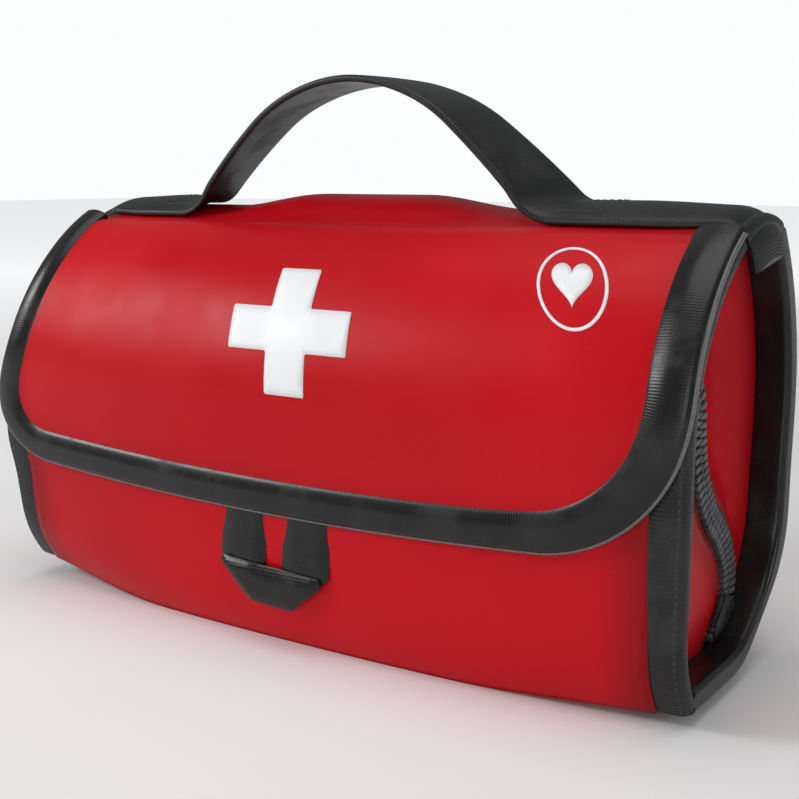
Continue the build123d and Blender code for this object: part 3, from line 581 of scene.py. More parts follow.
class Surface:
    """Short ways to build one node material."""

    def __init__(self, name, roughness=0.5, metallic=0.0, specular=0.5):
        self.material = bpy.data.materials.new(name)
        self.material.use_nodes = True
        self.tree = self.material.node_tree
        self.shader = self.tree.nodes["Principled BSDF"]
        self.shader.inputs["Roughness"].default_value = roughness
        self.shader.inputs["Metallic"].default_value = metallic
        self.shader.inputs["Specular IOR Level"].default_value = specular

    def put(self, socket, value):
        if isinstance(value, bpy.types.NodeSocket):
            self.tree.links.new(value, socket)
        else:
            socket.default_value = value

    def set(self, name, value):
        self.put(self.shader.inputs[name], value)
        return self

    def math(self, operation, first, second=0.0, third=0.0):
        node = self.tree.nodes.new("ShaderNodeMath")
        node.operation = operation
        self.put(node.inputs[0], first)
        self.put(node.inputs[1], second)
        self.put(node.inputs[2], third)
        return node.outputs[0]

    def attribute(self, name):
        node = self.tree.nodes.new("ShaderNodeAttribute")
        node.attribute_name = name
        return node.outputs["Fac"]

    def place(self):
        return self.tree.nodes.new("ShaderNodeTexCoord").outputs["Object"]

    def axis(self, name):
        node = self.tree.nodes.new("ShaderNodeSeparateXYZ")
        self.put(node.inputs[0], self.place())
        return node.outputs[name]

    def noise(self, scale, detail=3.0, rough=0.5):
        node = self.tree.nodes.new("ShaderNodeTexNoise")
        self.put(node.inputs["Vector"], self.place())
        node.inputs["Scale"].default_value = scale
        node.inputs["Detail"].default_value = detail
        node.inputs["Roughness"].default_value = rough
        return node.outputs["Fac"]

    def cells(self, scale):
        node = self.tree.nodes.new("ShaderNodeTexVoronoi")
        self.put(node.inputs["Vector"], self.place())
        node.inputs["Scale"].default_value = scale
        return node.outputs["Distance"]

    def span(self, value, low, high, to_low=0.0, to_high=1.0):
        node = self.tree.nodes.new("ShaderNodeMapRange")
        node.interpolation_type = "SMOOTHSTEP"
        for socket, number in zip(node.inputs, (value, low, high, to_low, to_high)):
            self.put(socket, number)
        return node.outputs[0]

    def mix(self, share, first, second):
        node = self.tree.nodes.new("ShaderNodeMix")
        node.data_type = "RGBA"
        self.put(node.inputs[0], share)
        self.put(node.inputs[6], first)
        self.put(node.inputs[7], second)
        return node.outputs[2]

    def mottle(self, scale, first, second):
        """Two screen colours in soft patches."""
        return self.mix(self.span(self.noise(scale), 0.3, 0.7), srgb(*first), srgb(*second))

    def wave(self, value, pitch):
        """Sine of a length, from -1 to 1, with one period per pitch."""
        return self.math("SINE", self.math("MULTIPLY", value, 2 * pi / pitch))

    def bump(self, height, distance, strength=1.0):
        """Bump from a height of 0 to 1 that stands the distance high; several add up."""
        node = self.tree.nodes.new("ShaderNodeBump")
        node.inputs["Strength"].default_value = strength
        node.inputs["Distance"].default_value = distance
        self.put(node.inputs["Height"], height)
        socket = self.shader.inputs["Normal"]
        if socket.is_linked:
            self.put(node.inputs["Normal"], socket.links[0].from_socket)
        self.put(socket, node.outputs[0])
        return self


def weave(surface, first, second, pitch):
    """Height of a plain weave with threads along two lengths."""
    over = surface.math("MULTIPLY", surface.wave(first, 2 * pitch), surface.wave(second, 2 * pitch))
    return surface.span(over, -1.0, 1.0)


def coated_red():
    """Glossy coated nylon: fine weave under the coating, with painted shade that makes it darker and duller
    towards the seams.
    """
    s = Surface("red_fabric", roughness=0.4, specular=0.14)
    base = s.mottle(9.0, (183, 8, 23), (197, 12, 27))
    # Painted shade near the seams: within 16 mm of a seam the red is mixed towards a dark red.
    near = s.span(s.attribute("edge"), 0.0, 16 * MM, 0.6, 0.0)
    colour = s.mix(near, base, srgb(104, 8, 14))
    scuffs = s.span(s.noise(160.0, 5.0, 0.7), 0.62, 0.8, 0.0, 0.12)
    colour = s.mix(scuffs, colour, srgb(205, 70, 75))
    s.set("Base Color", colour)
    s.set("Roughness", s.span(s.noise(35.0, 4.0), 0.3, 0.75, 0.33, 0.47))
    s.bump(s.noise(28.0, 3.0), 0.25 * MM, 0.25)
    s.bump(weave(s, s.attribute("u"), s.attribute("v"), 0.45 * MM), 0.05 * MM, 0.35)
    return s.material


def ribbed_black(name, dark, light, pitch, gloss=0.45, depth=0.22 * MM):
    """Woven tape with crosswise ribs, a little lighter in random worn patches."""
    s = Surface(name, roughness=gloss, specular=0.34)
    along, across = s.attribute("along"), s.attribute("across")
    ribs = s.span(s.wave(along, pitch), -1.0, 1.0)
    warp = s.span(s.wave(across, 0.8 * MM), -1.0, 1.0)
    worn = s.span(s.noise(55.0, 4.0, 0.65), 0.42, 0.72)
    colour = s.mix(worn, srgb(*dark), srgb(*light))
    colour = s.mix(s.math("MULTIPLY", ribs, 0.25), colour, srgb(*light))
    s.set("Base Color", colour)
    s.set("Roughness", s.span(worn, 0.0, 1.0, gloss - 0.05, gloss + 0.1))
    s.bump(ribs, depth, 0.35)
    s.bump(warp, depth * 0.3, 0.2)
    return s.material


def plain_black(name, colour, gloss):
    """Dark yarn or board with a fine grain."""
    s = Surface(name, roughness=gloss)
    grain = s.noise(900.0, 4.0, 0.7)
    s.set("Base Color", s.mix(s.span(grain, 0.35, 0.7), srgb(*colour), srgb(*[c + 14 for c in colour])))
    s.bump(grain, 0.1 * MM, 0.4)
    return s.material


def flat_print(name, colour, shade, gloss=0.45):
    """Printed or coated film with a faint mottle."""
    s = Surface(name, roughness=gloss)
    s.set("Base Color", s.mottle(60.0, colour, shade))
    s.set("Roughness", s.span(s.noise(90.0, 4.0), 0.3, 0.7, gloss - 0.06, gloss + 0.08))
    s.bump(s.noise(420.0, 3.0), 0.05 * MM, 0.3)
    return s.material


def tooth_plastic():
    """Moulded zip teeth, greyer than the tape they sit on."""
    s = Surface("zip_teeth", roughness=0.42)
    s.set("Base Color", s.mottle(140.0, (66, 69, 71), (88, 92, 94)))
    s.bump(s.noise(1500.0, 2.0), 0.05 * MM, 0.3)
    return s.material


def herringbone(name, dark, light):
    """Tape woven in slanting rows that turn back at even distances."""
    s = Surface(name, roughness=0.75, specular=0.3)
    along, across = s.attribute("along"), s.attribute("across")
    slant = s.math("ADD", along, s.math("PINGPONG", across, 1.2 * MM))
    rows = s.span(s.wave(slant, 0.8 * MM), -1.0, 1.0)
    s.set("Base Color", s.mix(rows, srgb(*dark), srgb(*light)))
    s.bump(rows, 0.12 * MM, 0.6)
    return s.material


def brushed_steel(name, colour, gloss):
    """Metal with fine scratches."""
    s = Surface(name, roughness=gloss, metallic=1.0)
    scratch = s.noise(700.0, 6.0, 0.8)
    s.set("Base Color", s.mottle(50.0, colour, [c - 22 for c in colour]))
    s.set("Roughness", s.span(scratch, 0.3, 0.7, gloss - 0.08, gloss + 0.12))
    s.bump(scratch, 0.02 * MM, 0.3)
    return s.material


def hook_pile(name, colour):
    """Short dense pile of a hook and loop fastener."""
    s = Surface(name, roughness=0.9, specular=0.2)
    pile = s.cells(1300.0)
    s.set("Base Color", s.mix(pile, srgb(*[c + 20 for c in colour]), srgb(*colour)))
    s.bump(pile, 0.5 * MM, 0.8)
    return s.material


def cotton(name, colour, shade, pitch):
    """Open woven cotton, with threads along the piece's two lengths."""
    s = Surface(name, roughness=0.9, specular=0.2)
    threads = weave(s, s.attribute("along"), s.attribute("across"), pitch)
    s.set("Base Color", s.mix(threads, srgb(*shade), srgb(*colour)))
    s.bump(threads, 0.25 * MM, 0.7)
    s.bump(s.noise(180.0, 3.0), 0.6 * MM, 0.4)
    return s.material


def film(name, colour, shade, gloss, metallic=0.0):
    """Crinkled packet film."""
    s = Surface(name, roughness=gloss, metallic=metallic)
    creases = s.cells(70.0)
    s.set("Base Color", s.mix(s.span(s.noise(40.0, 4.0), 0.35, 0.65), srgb(*colour), srgb(*shade)))
    s.set("Roughness", s.span(s.noise(120.0, 4.0), 0.3, 0.7, gloss - 0.05, gloss + 0.1))
    s.bump(creases, 0.4 * MM, 0.3)
    s.bump(s.noise(260.0, 4.0), 0.1 * MM, 0.25)
    return s.material


RED = coated_red()
BINDING_BLACK = ribbed_black("black_binding", (17, 18, 17), (34, 35, 34), 0.9 * MM, 0.32, 0.05 * MM)
SEAM_BLACK = ribbed_black("black_seam_tape", (20, 21, 20), (42, 43, 42), 1.3 * MM, 0.42, 0.2 * MM)
WEBBING_BLACK = ribbed_black("black_webbing", (18, 19, 18), (38, 39, 38), 1.0 * MM, 0.42, 0.12 * MM)
# Light grey of the cord that paints the highlight along the flap border's folded edge.
EDGE_HIGHLIGHT_GREY = plain_black("painted_highlight_cord", (92, 93, 94), 0.35)
THREAD = plain_black("black_thread", (44, 45, 44), 0.5)
LINING = plain_black("dark_lining", (38, 36, 37), 0.75)
CROSS_WHITE = flat_print("white_print", (238, 239, 240), (228, 230, 233))
TEETH = tooth_plastic()
TAPE = herringbone("zip_tape", (30, 31, 31), (52, 54, 54))


# ================ Stage ================

FLOOR_HALF = 6.0
FLOOR_GLOW_FROM, FLOOR_GLOW_TO, FLOOR_GLOW = 0.3, 1.8, 0.62     # the far floor fades into the backdrop
SKY = (0.97, 0.98, 1.0, 1.0)
SKY_LIGHT, SKY_SEEN = 0.24, 1.0     # the backdrop looks brighter than the light it gives


def stage():
    """Pale floor that glows with painted light, more with distance, until it is as bright as the backdrop."""
    mesh = bpy.data.meshes.new("floor")
    corners = corners_of(-FLOOR_HALF, -FLOOR_HALF, FLOOR_HALF, FLOOR_HALF)
    mesh.from_pydata([(x, y, 0) for x, y in corners], [], [(0, 1, 2, 3)])
    floor = bpy.data.objects.new("floor", mesh)
    bpy.context.scene.collection.objects.link(floor)
    s = Surface("pale_floor", roughness=0.7, specular=0.2)
    s.set("Base Color", s.mottle(3.0, (240, 240, 240), (246, 246, 246)))
    from_middle = s.tree.nodes.new("ShaderNodeVectorMath")
    from_middle.operation = "LENGTH"
    s.put(from_middle.inputs[0], s.place())
    # Painted light: the floor glows, more the further it is from the middle.
    s.set("Emission Color", SKY)
    s.set("Emission Strength", s.span(from_middle.outputs["Value"], FLOOR_GLOW_FROM, FLOOR_GLOW_TO,
                                      0.0, FLOOR_GLOW))
    mesh.materials.append(s.material)


def area_light(name, place, target, size, power):
    """Round soft light at a place, turned towards a target."""
    data = bpy.data.lights.new(name, "AREA")
    data.shape = "DISK"
    data.size = size
    data.energy = power
    lamp = bpy.data.objects.new(name, data)
    lamp.location = place
    lamp.rotation_mode = "QUATERNION"
    lamp.rotation_quaternion = (Vector(target) - Vector(place)).to_track_quat("-Z", "Y")
    bpy.context.scene.collection.objects.link(lamp)


def lights():
    area_light("key", (-1.05, -0.75, 0.75), (-0.05, 0, 0.08), 0.5, 9)
    area_light("fill", (1.5, 0.1, 0.6), (0.1, 0, 0.06), 0.6, 3.4)
    area_light("front", (0.5, -1.5, 0.5), (0.0, 0, 0.06), 0.9, 4.6)
    area_light("top", (0.0, -0.1, 1.6), (0, 0, 0.1), 1.4, 9.5)
    world = bpy.data.worlds.new("studio")
    world.use_nodes = True
    background = world.node_tree.nodes["Background"]
    background.inputs["Color"].default_value = SKY
    light_path = world.node_tree.nodes.new("ShaderNodeLightPath")
    level = world.node_tree.nodes.new("ShaderNodeMapRange")
    level.inputs["To Min"].default_value = SKY_LIGHT
    level.inputs["To Max"].default_value = SKY_SEEN
    world.node_tree.links.new(light_path.outputs["Is Camera Ray"], level.inputs["Value"])
    world.node_tree.links.new(level.outputs[0], background.inputs["Strength"])
    bpy.context.scene.world = world
    bpy.context.scene.view_settings.view_transform = "Standard"


CAMERA_PLACE = (0.2608, -0.3660, 0.1560)
CAMERA_YAW, CAMERA_PITCH = 0.593, 0.174
CAMERA_LENS = 57.84


def camera():
    data = bpy.data.cameras.new("camera")
    data.lens = CAMERA_LENS
    data.sensor_width = 36
    data.clip_start = 0.01
    view = bpy.data.objects.new("camera", data)
    view.location = CAMERA_PLACE
    way = Vector((-sin(CAMERA_YAW) * cos(CAMERA_PITCH), cos(CAMERA_YAW) * cos(CAMERA_PITCH),
                  -sin(CAMERA_PITCH)))
    view.rotation_mode = "QUATERNION"
    view.rotation_quaternion = way.to_track_quat("-Z", "Y")
    bpy.context.scene.collection.objects.link(view)
    bpy.context.scene.camera = view


camera()
lights()
stage()

# ================ Body ================

SKIN = 2.0 * MM
UNDER_SEAM = 1 * MM       # how far a sheet runs in under the bound seams


def sheet(name, points, x, along, edge, flipped=False):
    """Grid of fabric with its lengths across and along, and its distance from the nearest seam."""
    faces = grid_faces(*x.shape)
    if flipped:
        faces = [face[::-1] for face in faces]
    attributes = {"u": x.ravel(), "v": along.ravel(), "edge": edge.ravel()}
    return make(name, points.reshape(-1, 3), faces, attributes)


def line_red(piece, thickness=SKIN):
    """Thickness for a sheet of fabric: coated red outside, dark lining inside."""
    piece.data.materials.append(RED)
    return thicken(piece, thickness, inner=LINING)


def across_bag(columns):
    return np.linspace(-GUSSET_X - UNDER_SEAM, GUSSET_X + UNDER_SEAM, columns)


def ends_to_middle(x):
    """0 at the two ends of the bag, 1 along its middle."""
    return smooth(GUSSET_X - np.abs(x), 0.0, 45 * MM)


def back_skin():
    """One sheet along the bottom and up the back, swollen between its seams."""
    x, share = np.meshgrid(across_bag(60), np.linspace(0, 1, 64))
    middle = ends_to_middle(x)
    ends = BACK_END.at(share * BACK_END.length, -1.0 * MM)
    mids = BACK_MIDDLE.at(share * BACK_MIDDLE.length, 0.0)
    yz = ends + (mids - ends) * middle[..., None]
    swell = BACK_SWELL * np.sin(np.clip(share * 1.5 - 0.5, 0, 1) * pi) * middle
    yz[..., 0] += swell
    yz[..., 1] = np.maximum(yz[..., 1], 0.3 * MM)
    edge = np.minimum(GUSSET_X - np.abs(x), (1 - share) * BACK_END.length)
    piece = sheet("back_skin", settle(in_space(x, yz)), x, share * BACK_END.length, edge, flipped=True)
    return dress(line_red(piece), "body", RED, ("back_panel", "base_panel"))


FRONT_PRESSURE, FRONT_REACH = 3.0, 2.5 * MM     # of the cloth simulation


def front_skin():
    """Lower front from the bottom to the zip, swollen between its seams."""
    s = np.linspace(0.0, FRONT.where_z(ZIP_Z - ZIP_BAND), 44)
    x, along = np.meshgrid(across_bag(84), s)
    edge = np.minimum(GUSSET_X - np.abs(x), s[-1] - along)
    piece = sheet("front_skin", on_front(x, along, 0.0), x, along, edge)
    border = np.where((edge.ravel() < 2 * MM) | (along.ravel() < 1 * MM))[0]
    billow(piece, border, FRONT_PRESSURE, FRONT_REACH)
    line_red(piece)
    dress(piece, None, RED, ("front_panel",))
    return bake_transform(piece)


def upper_front_skin():
    """Fixed strip between the zip and the flap's root."""
    s = np.linspace(FRONT.where_z(ZIP_Z + ZIP_BAND), FRONT.where_z(TOP_Z - 4 * MM), 14)
    x, along = np.meshgrid(across_bag(60), s)
    edge = np.minimum(GUSSET_X - np.abs(x), along - s[0])
    piece = sheet("upper_front_skin", on_front(x, along, -0.6 * MM), x, along, edge)
    return dress(line_red(piece), "body", RED, ("upper_front",))


def end_rim():
    """Front, top and back parts of an end wall's outline, inside the bound seams."""
    low = FRONT.where_z(5 * MM)
    front = FRONT.at(np.arange(low, FRONT.length, 2 * MM), -3 * MM)
    back = BACK_END.at(np.arange(0, BACK_END.length, 2 * MM), -4 * MM)
    top = TOP.at(np.arange(3 * MM, TOP.length - 2 * MM, 2 * MM), -1 * MM)
    return front, top, back


TAPE_EDGE = 4.8 * MM      # from the zip's middle to the edge of the fabric


def zip_line(outset, above):
    """The zip's middle line moved to one side, from the front to a height above the floor."""
    line_yz = ZIP.at(np.arange(0, ZIP.length, 2 * MM), outset)
    return line_yz[(line_yz[:, 1] > above) & (line_yz[:, 0] > FRONT_Y + 4 * MM)]


def gusset_rim():
    """Outline of the fixed part of an end wall, behind the zip."""
    front, top, back = end_rim()
    zipper = zip_line(TAPE_EDGE, back[0, 1])
    front = front[front[:, 1] > zipper[0, 1] + 1 * MM]
    back = back[back[:, 0] > zipper[-1, 0]]
    return np.concatenate([zipper[::-1], front, top, back[::-1]])


def cheek_rim():
    """Outline of the part of an end wall that swings down with the door."""
    front, _, back = end_rim()
    zipper = zip_line(-TAPE_EDGE, back[0, 1])
    front = front[front[:, 1] < zipper[0, 1] - 1 * MM]
    back = back[back[:, 0] < zipper[-1, 0] - 1 * MM]
    return np.concatenate([zipper, back[::-1], front])


def end_wall(name, rim, dish, reach, side, body, replaced):
    """Soft end wall: a sheet that sinks (or swells, if dish is negative) away from its seams."""
    flat, faces, edge = fill(rim, 3 * MM)
    x = side * (GUSSET_X - dish * smooth(edge, 0.0, reach))
    piece = make(name, in_space(x, flat), faces, {"u": flat[:, 0], "v": flat[:, 1], "edge": edge})
    turn_to(piece, 0, side)
    line_red(piece)
    return dress(piece, body, RED, (replaced,))


def end_walls():
    for side, label in ((1, "right"), (-1, "left")):
        end_wall(f"gusset_skin_{label}", gusset_rim(), 9 * MM, 24 * MM, side, "body", f"gusset_{label}")
        end_wall(f"cheek_skin_{label}", cheek_rim(), -2.0 * MM, 22 * MM, side, "door", f"cheek_{label}")


# ---- Bound seams ----

def seam_section():
    """Folded tape round a seam: rounded outer edge, flatter inner edge."""
    return section(SEAM_X - GUSSET_X + 2 * MM, 6.0 * MM, 2.3 * MM, crown=0.5 * MM)


def seam_path(outline, start, end, depth, side):
    """Middle line of a bound seam, with the directions across it and out from the bag."""
    s = np.arange(start, end, 2 * MM)
    centres = in_space(side * (GUSSET_X + SEAM_X - 2 * MM) / 2, outline.at(s, -depth))
    return centres, same((side, 0, 0), len(s)), in_space(0.0, outline.normal(s))


def front_seams():
    """Bound front corners: the lower part swings with the door, the upper part stays."""
    parts = (("front", FRONT.where_z(1.2 * MM), FRONT.where_z(ZIP_Z - 0.4 * MM), "door"),
             ("upper", FRONT.where_z(ZIP_Z + 0.8 * MM), FRONT.length, "body"))
    for side, label in ((1, "right"), (-1, "left")):
        for part, start, end, body in parts:
            centres, across, out = seam_path(FRONT, start, end, 2.8 * MM, side)
            piece = sweep(f"{part}_seam_{label}", centres, across, out, seam_section())
            dress(piece, body, SEAM_BLACK, (f"{part}_binding_{label}",))
            row = centres + across * 4.2 * MM + out * 3.2 * MM
            thread = stitches(f"{part}_seam_stitches_{label}", row, out, 2.4 * MM, 1.7 * MM)
            dress(thread, body, THREAD)


def top_seams():
    """Bound top edge of each end, under the strap's end."""
    for side, label in ((1, "right"), (-1, "left")):
        centres, across, out = seam_path(TOP, 0.5 * MM, TOP.length - 2 * MM, 3.0 * MM, side)
        piece = sweep(f"top_seam_{label}", centres, across, out, seam_section())
        dress(piece, "body", SEAM_BLACK, (f"top_corner_{label}",))


def rear_section():
    """Broad border tape with a groove along its end face, between two folded layers."""
    width = SEAM_X - GUSSET_X + 2 * MM
    shape = section(width, 8.0 * MM, 2.4 * MM, steps=5, crown=0.3 * MM)
    end_face = shape[:, 0] > width / 2 - 0.9 * MM
    groove = 1.3 * MM * np.exp(-((shape[:, 1] + 0.8 * MM) / (0.9 * MM)) ** 2)
    shape[:, 0] -= np.where(end_face, groove, 0)
    return shape


def rear_seams():
    """Broad bound edge from the bottom up to the top rear corner at each end."""
    for side, label in ((1, "right"), (-1, "left")):
        centres, across, out = seam_path(BACK_END, 3 * MM, BACK_END.length, 4.0 * MM, side)
        piece = sweep(f"rear_seam_{label}", centres, across, out, rear_section())
        dress(piece, "body", BINDING_BLACK, (f"rear_binding_{label}",))


back_skin()
front_skin()
upper_front_skin()
end_walls()
front_seams()
top_seams()
rear_seams()

# ================ Flap ================

FLAP_SKIN = 1.8 * MM


def cover_outset(x, s, edge):
    """How far the flap's fabric stands off the front: it lies on the top and clears the front."""
    top = FRONT.length
    lift = FLAP_GAP + FLAP_SKIN
    off = lift * (1 - smooth(s, top - 9 * MM, top + 2 * MM))
    swell = FLAP_SWELL * smooth(edge, 4 * MM, 40 * MM) * (1 - smooth(s, top - 30 * MM, top))
    crown = smooth(s, top - 2 * MM, top + 14 * MM) * (1 - smooth(s, top + 22 * MM, COVER.length))
    return off + swell + TOP_SWELL * crown * smooth(62 * MM - np.abs(x - HANDLE_X), 0.0, 40 * MM)


def flap_cover():
    """Flap and top as one piece of fabric; gives back its outer faces, for prints to lie on."""
    rim_xz = flap_edge(2.5 * MM, TOP_Z - 0.5 * MM, 4 * MM)
    rim = np.stack([rim_xz[:, 0], FRONT.where_z(rim_xz[:, 1])], 1)
    root = FRONT.length + 3 * MM
    end = COVER.length - 0.5 * MM
    back = line((GUSSET_X, end), (-GUSSET_X, end), 4 * MM)
    rim = np.concatenate([rim, [(GUSSET_X, root)], back, [(-GUSSET_X, root)]])
    flat, faces, edge = fill(rim, 3.4 * MM)
    points = on_front(flat[:, 0], flat[:, 1], cover_outset(flat[:, 0], flat[:, 1], edge), COVER)
    piece = make("flap_cover", points, faces, {"u": flat[:, 0], "v": flat[:, 1], "edge": edge})
    turn_to(piece, 1, -1)
    tree = BVHTree.FromPolygons([Vector(p) for p in coordinates(piece)],
                                [tuple(p.vertices) for p in piece.data.polygons])
    line_red(piece, FLAP_SKIN)
    dress(piece, None, RED, ("flap_panel", "top_panel"))
    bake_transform(piece)
    return tree


def binding_section():
    """Tape folded over the flap's edge: thick rounded fold outside, thin hem inside."""
    shape = section(BINDING + 0.4 * MM, 4.2 * MM, 2.0 * MM, steps=5, crown=0.7 * MM)
    inner = smooth(-shape[:, 0], 0.5 * MM, 6 * MM)
    shape[:, 1] *= 1 - 0.35 * inner
    return shape


WIDE_RIGHT = 0.22         # the border is this much wider up the right side


def flap_border():
    """Broad tape bound round the flap's free edge."""
    path_xz = even(flap_edge(BINDING / 2, TOP_Z - 1.0 * MM, 1 * MM), 2 * MM)
    s = FRONT.where_z(path_xz[:, 1])
    centres = on_front(path_xz[:, 0], s, 2.1 * MM)
    across, out = path_frame(centres, in_space(0.0, FRONT.normal(s)))
    scale = np.ones((len(centres), 2))
    scale[:, 0] = 1 + WIDE_RIGHT * smooth(centres[:, 0], 70 * MM, FLAP_X - BINDING / 2)
    centres = centres - across * ((scale[:, 0:1] - 1) * BINDING / 2)
    piece = sweep("flap_border", centres, across, out, binding_section(), scale)
    dress(piece, None, BINDING_BLACK, ("flap_binding",))
    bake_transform(piece)


EDGE_CORD_R = 0.95 * MM


def flap_edge_highlight_cord():
    """Fine light-grey cord in the fold along the flap's outer edge; its pale colour paints the highlight on
    that fold.
    """
    path_xz = even(flap_edge(0.3 * MM, TOP_Z - 2.0 * MM, 1 * MM), 2 * MM)
    s = FRONT.where_z(path_xz[:, 1])
    path = on_front(path_xz[:, 0], s, 2.6 * MM)
    across, out = path_frame(path, in_space(0.0, FRONT.normal(s)))
    piece = sweep("flap_edge_highlight_cord", path, across, out, circle(EDGE_CORD_R, 10))
    dress(piece, None, EDGE_HIGHLIGHT_GREY)
    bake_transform(piece)


def drape(tree, points_xz, lift):
    """Points and normals on the flap's outside, straight behind flat (x, z) places."""
    places, normals = [], []
    for x, z in points_xz:
        hit, normal, _, _ = tree.ray_cast(Vector((x, -0.3, z)), Vector((0, 1, 0)))
        if normal.y > 0:
            normal = -normal
        places.append(hit)
        normals.append(normal)
    normals = np.array(normals)
    return np.array(places) + normals * lift, normals


def flap_patch(name, rim, spacing, thick, surface, node):
    """Thin print that lies on the flap, with softly rounded edges."""
    flat, faces, edge = fill(rim, spacing)
    outer, normals = drape(cover_tree, flat, 0.0)
    lift = thick * (0.75 + 0.25 * smooth(edge, 0.0, 0.8 * MM))
    piece = make(name, outer + normals * lift[:, None], faces)
    turn_to(piece, 1, -1)
    thicken(piece, thick * 0.9)
    return dress(piece, "flap", surface, (node,))


def rounded_rim(corners, radius, step=1.0 * MM):
    """Closed outline through corners (given anticlockwise), each softened with a small curve."""
    rim = []
    count = len(corners)
    for i, corner in enumerate(np.array(corners, float)):
        before = np.array(corners[i - 1]) - corner
        after = np.array(corners[(i + 1) % count]) - corner
        first = corner + before / np.linalg.norm(before) * radius
        last = corner + after / np.linalg.norm(after) * radius
        for t in np.linspace(0, 1, 4):
            rim.append((1 - t) ** 2 * first + 2 * t * (1 - t) * corner + t * t * last)
    rim.append(rim[0])
    return even(np.array(rim), step)[:-1]


def unroll(x, s):
    """Flat (x, z) place of a point given by its distance up the front's surface."""
    return np.stack([np.asarray(x, float), FRONT.at(np.asarray(s, float))[..., 1]], -1)


def surface_span(node):
    """Middle and half size of a CAD print, measured across and up the flap's surface."""
    low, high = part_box(node)
    bottom, top = (float(FRONT.where_z(z)) for z in (low.z, high.z))
    return (low.x + high.x) / 2, (bottom + top) / 2, (high.x - low.x) / 2, (top - bottom) / 2


BAR_DROP = 1.0 * MM
CROSS_LEAN = 0.13         # the print is a little out of square


def cross_print():
    """White cross, with its bar a little below the middle."""
    x, s, half_x, half_s = surface_span("cross_patch")
    arm_x, arm_s = half_x / 3, half_s / 3
    low_s, high_s = -arm_s - BAR_DROP, arm_s - BAR_DROP
    corners = [(arm_x, -half_s), (arm_x, low_s), (half_x, low_s), (half_x, high_s), (arm_x, high_s),
               (arm_x, half_s - BAR_DROP), (-arm_x, half_s - BAR_DROP), (-arm_x, high_s),
               (-half_x, high_s), (-half_x, low_s), (-arm_x, low_s), (-arm_x, -half_s)]
    rim = rounded_rim([(x + a - CROSS_LEAN * b, s + b) for a, b in corners], 0.4 * MM, 1.0 * MM)
    flap_patch("cross_print", unroll(rim[:, 0], rim[:, 1]), 1.6 * MM, 0.3 * MM, CROSS_WHITE,
               "cross_patch")


BADGE_LINE = 1.1 * MM
BADGE_LEAN = 0.32
BADGE_WIDE, BADGE_TALL = 0.9, 1.22   # the print's own shape against the CAD's


def badge_print():
    """Plain ring with a small heart in it."""
    x, s, half_x, half_s = surface_span("badge")
    half_x, half_s = half_x * BADGE_WIDE, half_s * BADGE_TALL
    count, around = 96, 5
    angles = np.linspace(0, 2 * pi, count, endpoint=False)
    rings = []
    for k in range(around):
        inset = BADGE_LINE * k / (around - 1)
        up = (half_s - inset) * np.sin(angles)
        rings.append(unroll(x + (half_x - inset) * np.cos(angles) - BADGE_LEAN * up, s + up))
    flat = np.stack(rings, 1).reshape(-1, 2)
    outer, normals = drape(cover_tree, flat, 0.0)
    rise = np.tile(np.array([0.1, 0.26, 0.3, 0.26, 0.1]) * MM, count)
    faces = [(i, i + 1, (i + 1 + around) % (count * around), (i + around) % (count * around))
             for i in range(count * around) if i % around < around - 1]
    ring = make("badge_ring", outer + normals * rise[:, None], faces)
    turn_to(ring, 1, -1)
    thicken(ring, 0.3 * MM)
    dress(ring, "flap", CROSS_WHITE)
    t = np.linspace(0, 2 * pi, 72, endpoint=False)
    size = 0.58 / 16
    heart_x = -16 * size * np.sin(t) ** 3
    heart_s = size * (13 * np.cos(t) - 5 * np.cos(2 * t) - 2 * np.cos(3 * t) - np.cos(4 * t) + 2.5)
    rim = unroll(x + half_x * heart_x - BADGE_LEAN * half_s * heart_s, s + half_s * heart_s)
    flap_patch("badge_heart", rim, 1.5 * MM, 0.3 * MM, CROSS_WHITE, "badge")


# ---- Pull loop ----

LOOP_HINGE = 45.0 * MM
LOOP_STRIP = 19.3 * MM
LOOP_FOLD_LEFT, LOOP_FOLD_RIGHT = 29.6 * MM, 27.6 * MM


def loop_face(x, z, lift):
    """Place in front of the bag's lower front at a flat (x, z) place, lifted clear of it."""
    s = FRONT.where_z(np.asarray(z))
    return on_front(x, s, lift)


def both_layers(faces, edge):
    """Faces of a closed piece made of two equal layers that share the points on their rim."""
    count = len(edge)
    on_rim = edge < 1e-7
    where = np.arange(count) + count
    where[on_rim] = np.arange(count)[on_rim]
    faces = [f for f in faces if not all(on_rim[i] for i in f)]
    return faces + [tuple(where[i] for i in f)[::-1] for f in faces]


def slab(name, rim, spacing, lift, thick, round_off, surface_place):
    """Flat piece of folded ribbon: closed, with rounded edges, laid on a surface function."""
    flat, faces, edge = fill(rim, spacing)
    half = thick / 2 * np.sqrt(np.clip(1 - (1 - np.clip(edge / round_off, 0, 1)) ** 2, 0.0, 1))
    front = surface_place(flat[:, 0], flat[:, 1], lift + half)
    back = surface_place(flat[:, 0], flat[:, 1], lift - half)
    points = np.concatenate([front, back])
    piece = make(name, points, both_layers(faces, edge), {
        "along": np.concatenate([flat[:, 1]] * 2), "across": np.concatenate([flat[:, 0]] * 2)}, sharp=80)
    return mend(piece)


